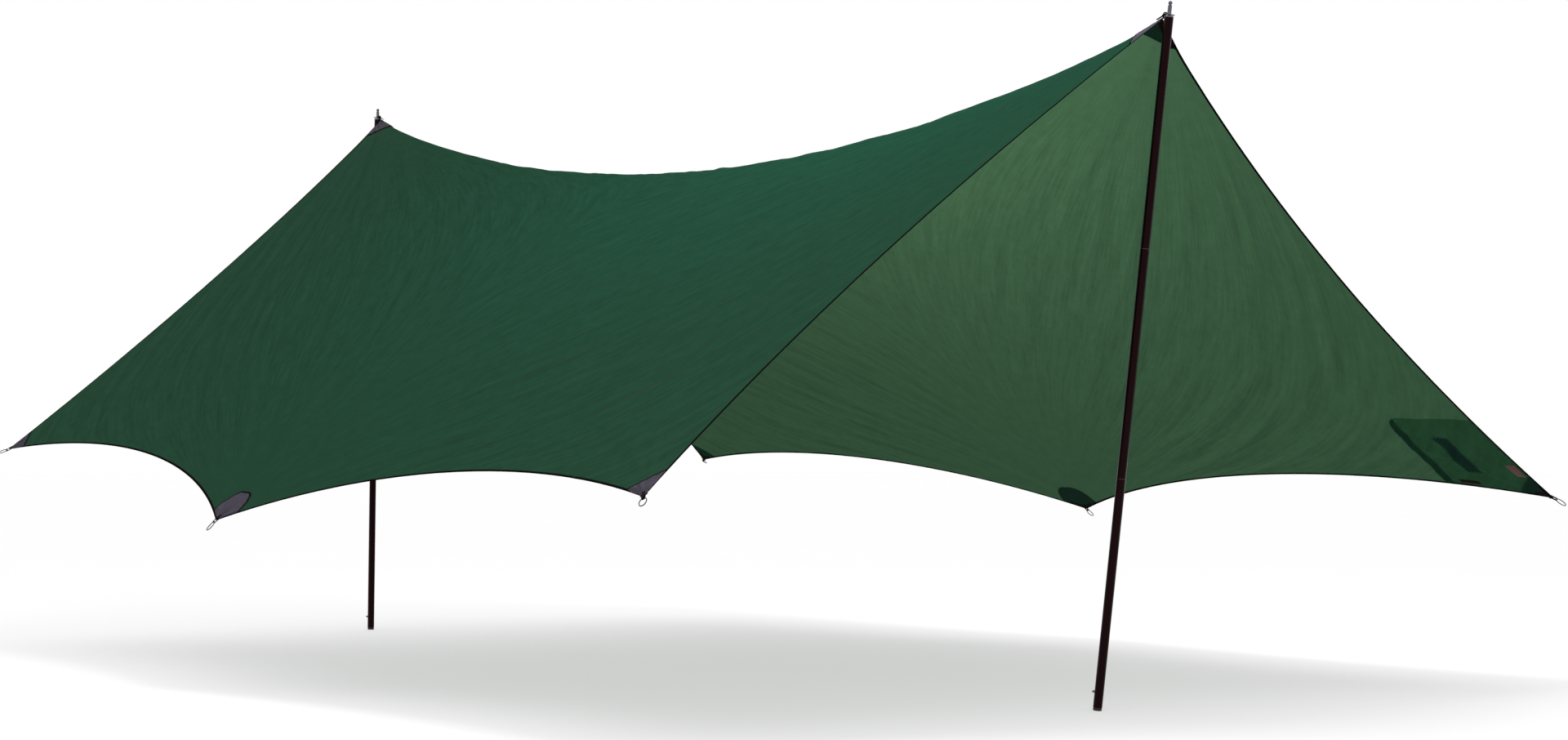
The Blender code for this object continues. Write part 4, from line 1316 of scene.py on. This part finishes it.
def sew_canopy(cloth, ties, finishes):
    """The canopy and everything sewn to it, apart from the pocket's own cloth."""
    canopy = sew_on(whole_canopy(cloth, finishes["canopy"]), "canopy_cloth",
                    "canopy_right_panel", "canopy_left_panel")
    sewn = []
    for which in HEMS:
        sewn.append(sew_on(hem_tape(cloth, which, finishes["tape"]), "black_webbing", which + "_hem"))
    for tie in ties:
        sewn.append(sew_on(patch(cloth, tie, finishes["patch"]), "reinforcement_cloth",
                           tie.name + "_patch"))
        sewn.append(sew_on(patch_binding(cloth, tie, finishes["binding"]), "reinforcement_cloth"))
        sewn.append(sew_on(ring_loop(tie, finishes["webbing"]), "black_webbing", tie.name + "_webbing"))
        for band in tip_bands(cloth, tie, finishes["webbing"]):
            sewn.append(sew_on(band, "black_webbing"))
        ring = wire_ring(tie, finishes["wire"])
        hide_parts(tie.name + "_ring")
        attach(ring, tie.name + "_ring")
    return canopy, sewn


def sew_pocket(cloth, finishes):
    """The pocket's cloth, and the tapes and label round it."""
    bag = pocket_sheet(cloth, "stow_pocket_cloth", (POCKET_U[0], POCKET_END), (POCKET_V[0], POCKET_END),
                       0.0, POCKET_T, finishes["pocket"], (70, 70), rounded=True)
    sew_on(bag, "canopy_cloth", "stow_pocket")
    mouth = pocket_sheet(cloth, "pocket_mouth_tape", (POCKET_U[0] - 0.0006, POCKET_U[0] + BAND_U),
                         (POCKET_V[0] - 0.0006, 0.994), STRIP_HEIGHT, BAND_T, finishes["mouth"],
                         (14, 90), rounded=True)
    strip = pocket_sheet(cloth, "pocket_closure_tape", STRIP_U, STRIP_V, STRIP_HEIGHT, STRIP_T,
                         finishes["webbing"], (16, 50))
    tab = under_sheet(cloth, "hem_closure_tape", TAG_U, TAG_V, TAG_UNDER, STRIP_T, finishes["webbing"])
    label = under_sheet(cloth, "blank_cloth_label", LABEL_U, LABEL_V, LABEL_UNDER, LABEL_T,
                        finishes["label"])
    return bag, [sew_on(mouth, "black_webbing", "pocket_mouth_hem"),
                 sew_on(strip, "black_webbing", "pocket_closure_strip"),
                 sew_on(tab, "black_webbing", "hem_closure_tab"),
                 sew_on(label, "label_cloth", "blank_label")]


def stitch_canopy(cloth, ties, thread):
    """All the thread that shows on the canopy, one piece for each kind of seam."""
    tree = stitch_tree()
    seams = (("hem_stitches", hem_stitch_rows(cloth), STITCH_PITCH),
             ("patch_stitches", patch_stitch_rows(cloth, ties), STITCH_PITCH),
             ("ring_loop_stitches", loop_stitch_rows(ties), LOOP_STITCH_PITCH),
             ("pocket_stitches", pocket_stitch_rows(cloth), STITCH_PITCH))
    return [sew_on(stitches(name, tree, rows, thread, pitch), "black_webbing")
            for name, rows, pitch in seams]


def build():
    finishes = make_finishes()
    cloth = Cloth()
    ties = [TieOut(name, cloth, k) for k, name in enumerate(TIE_OUTS)]
    canopy, sewn = sew_canopy(cloth, ties, finishes)
    bag, trims = sew_pocket(cloth, finishes)
    sewn += trims
    sewn += stitch_canopy(cloth, ties, finishes["thread"])
    for tie in ties:
        if tie.kind == "peak":
            stand_pole(Pole(tie.name.split("_")[0], tie), finishes)


studio()
make_camera()
build()
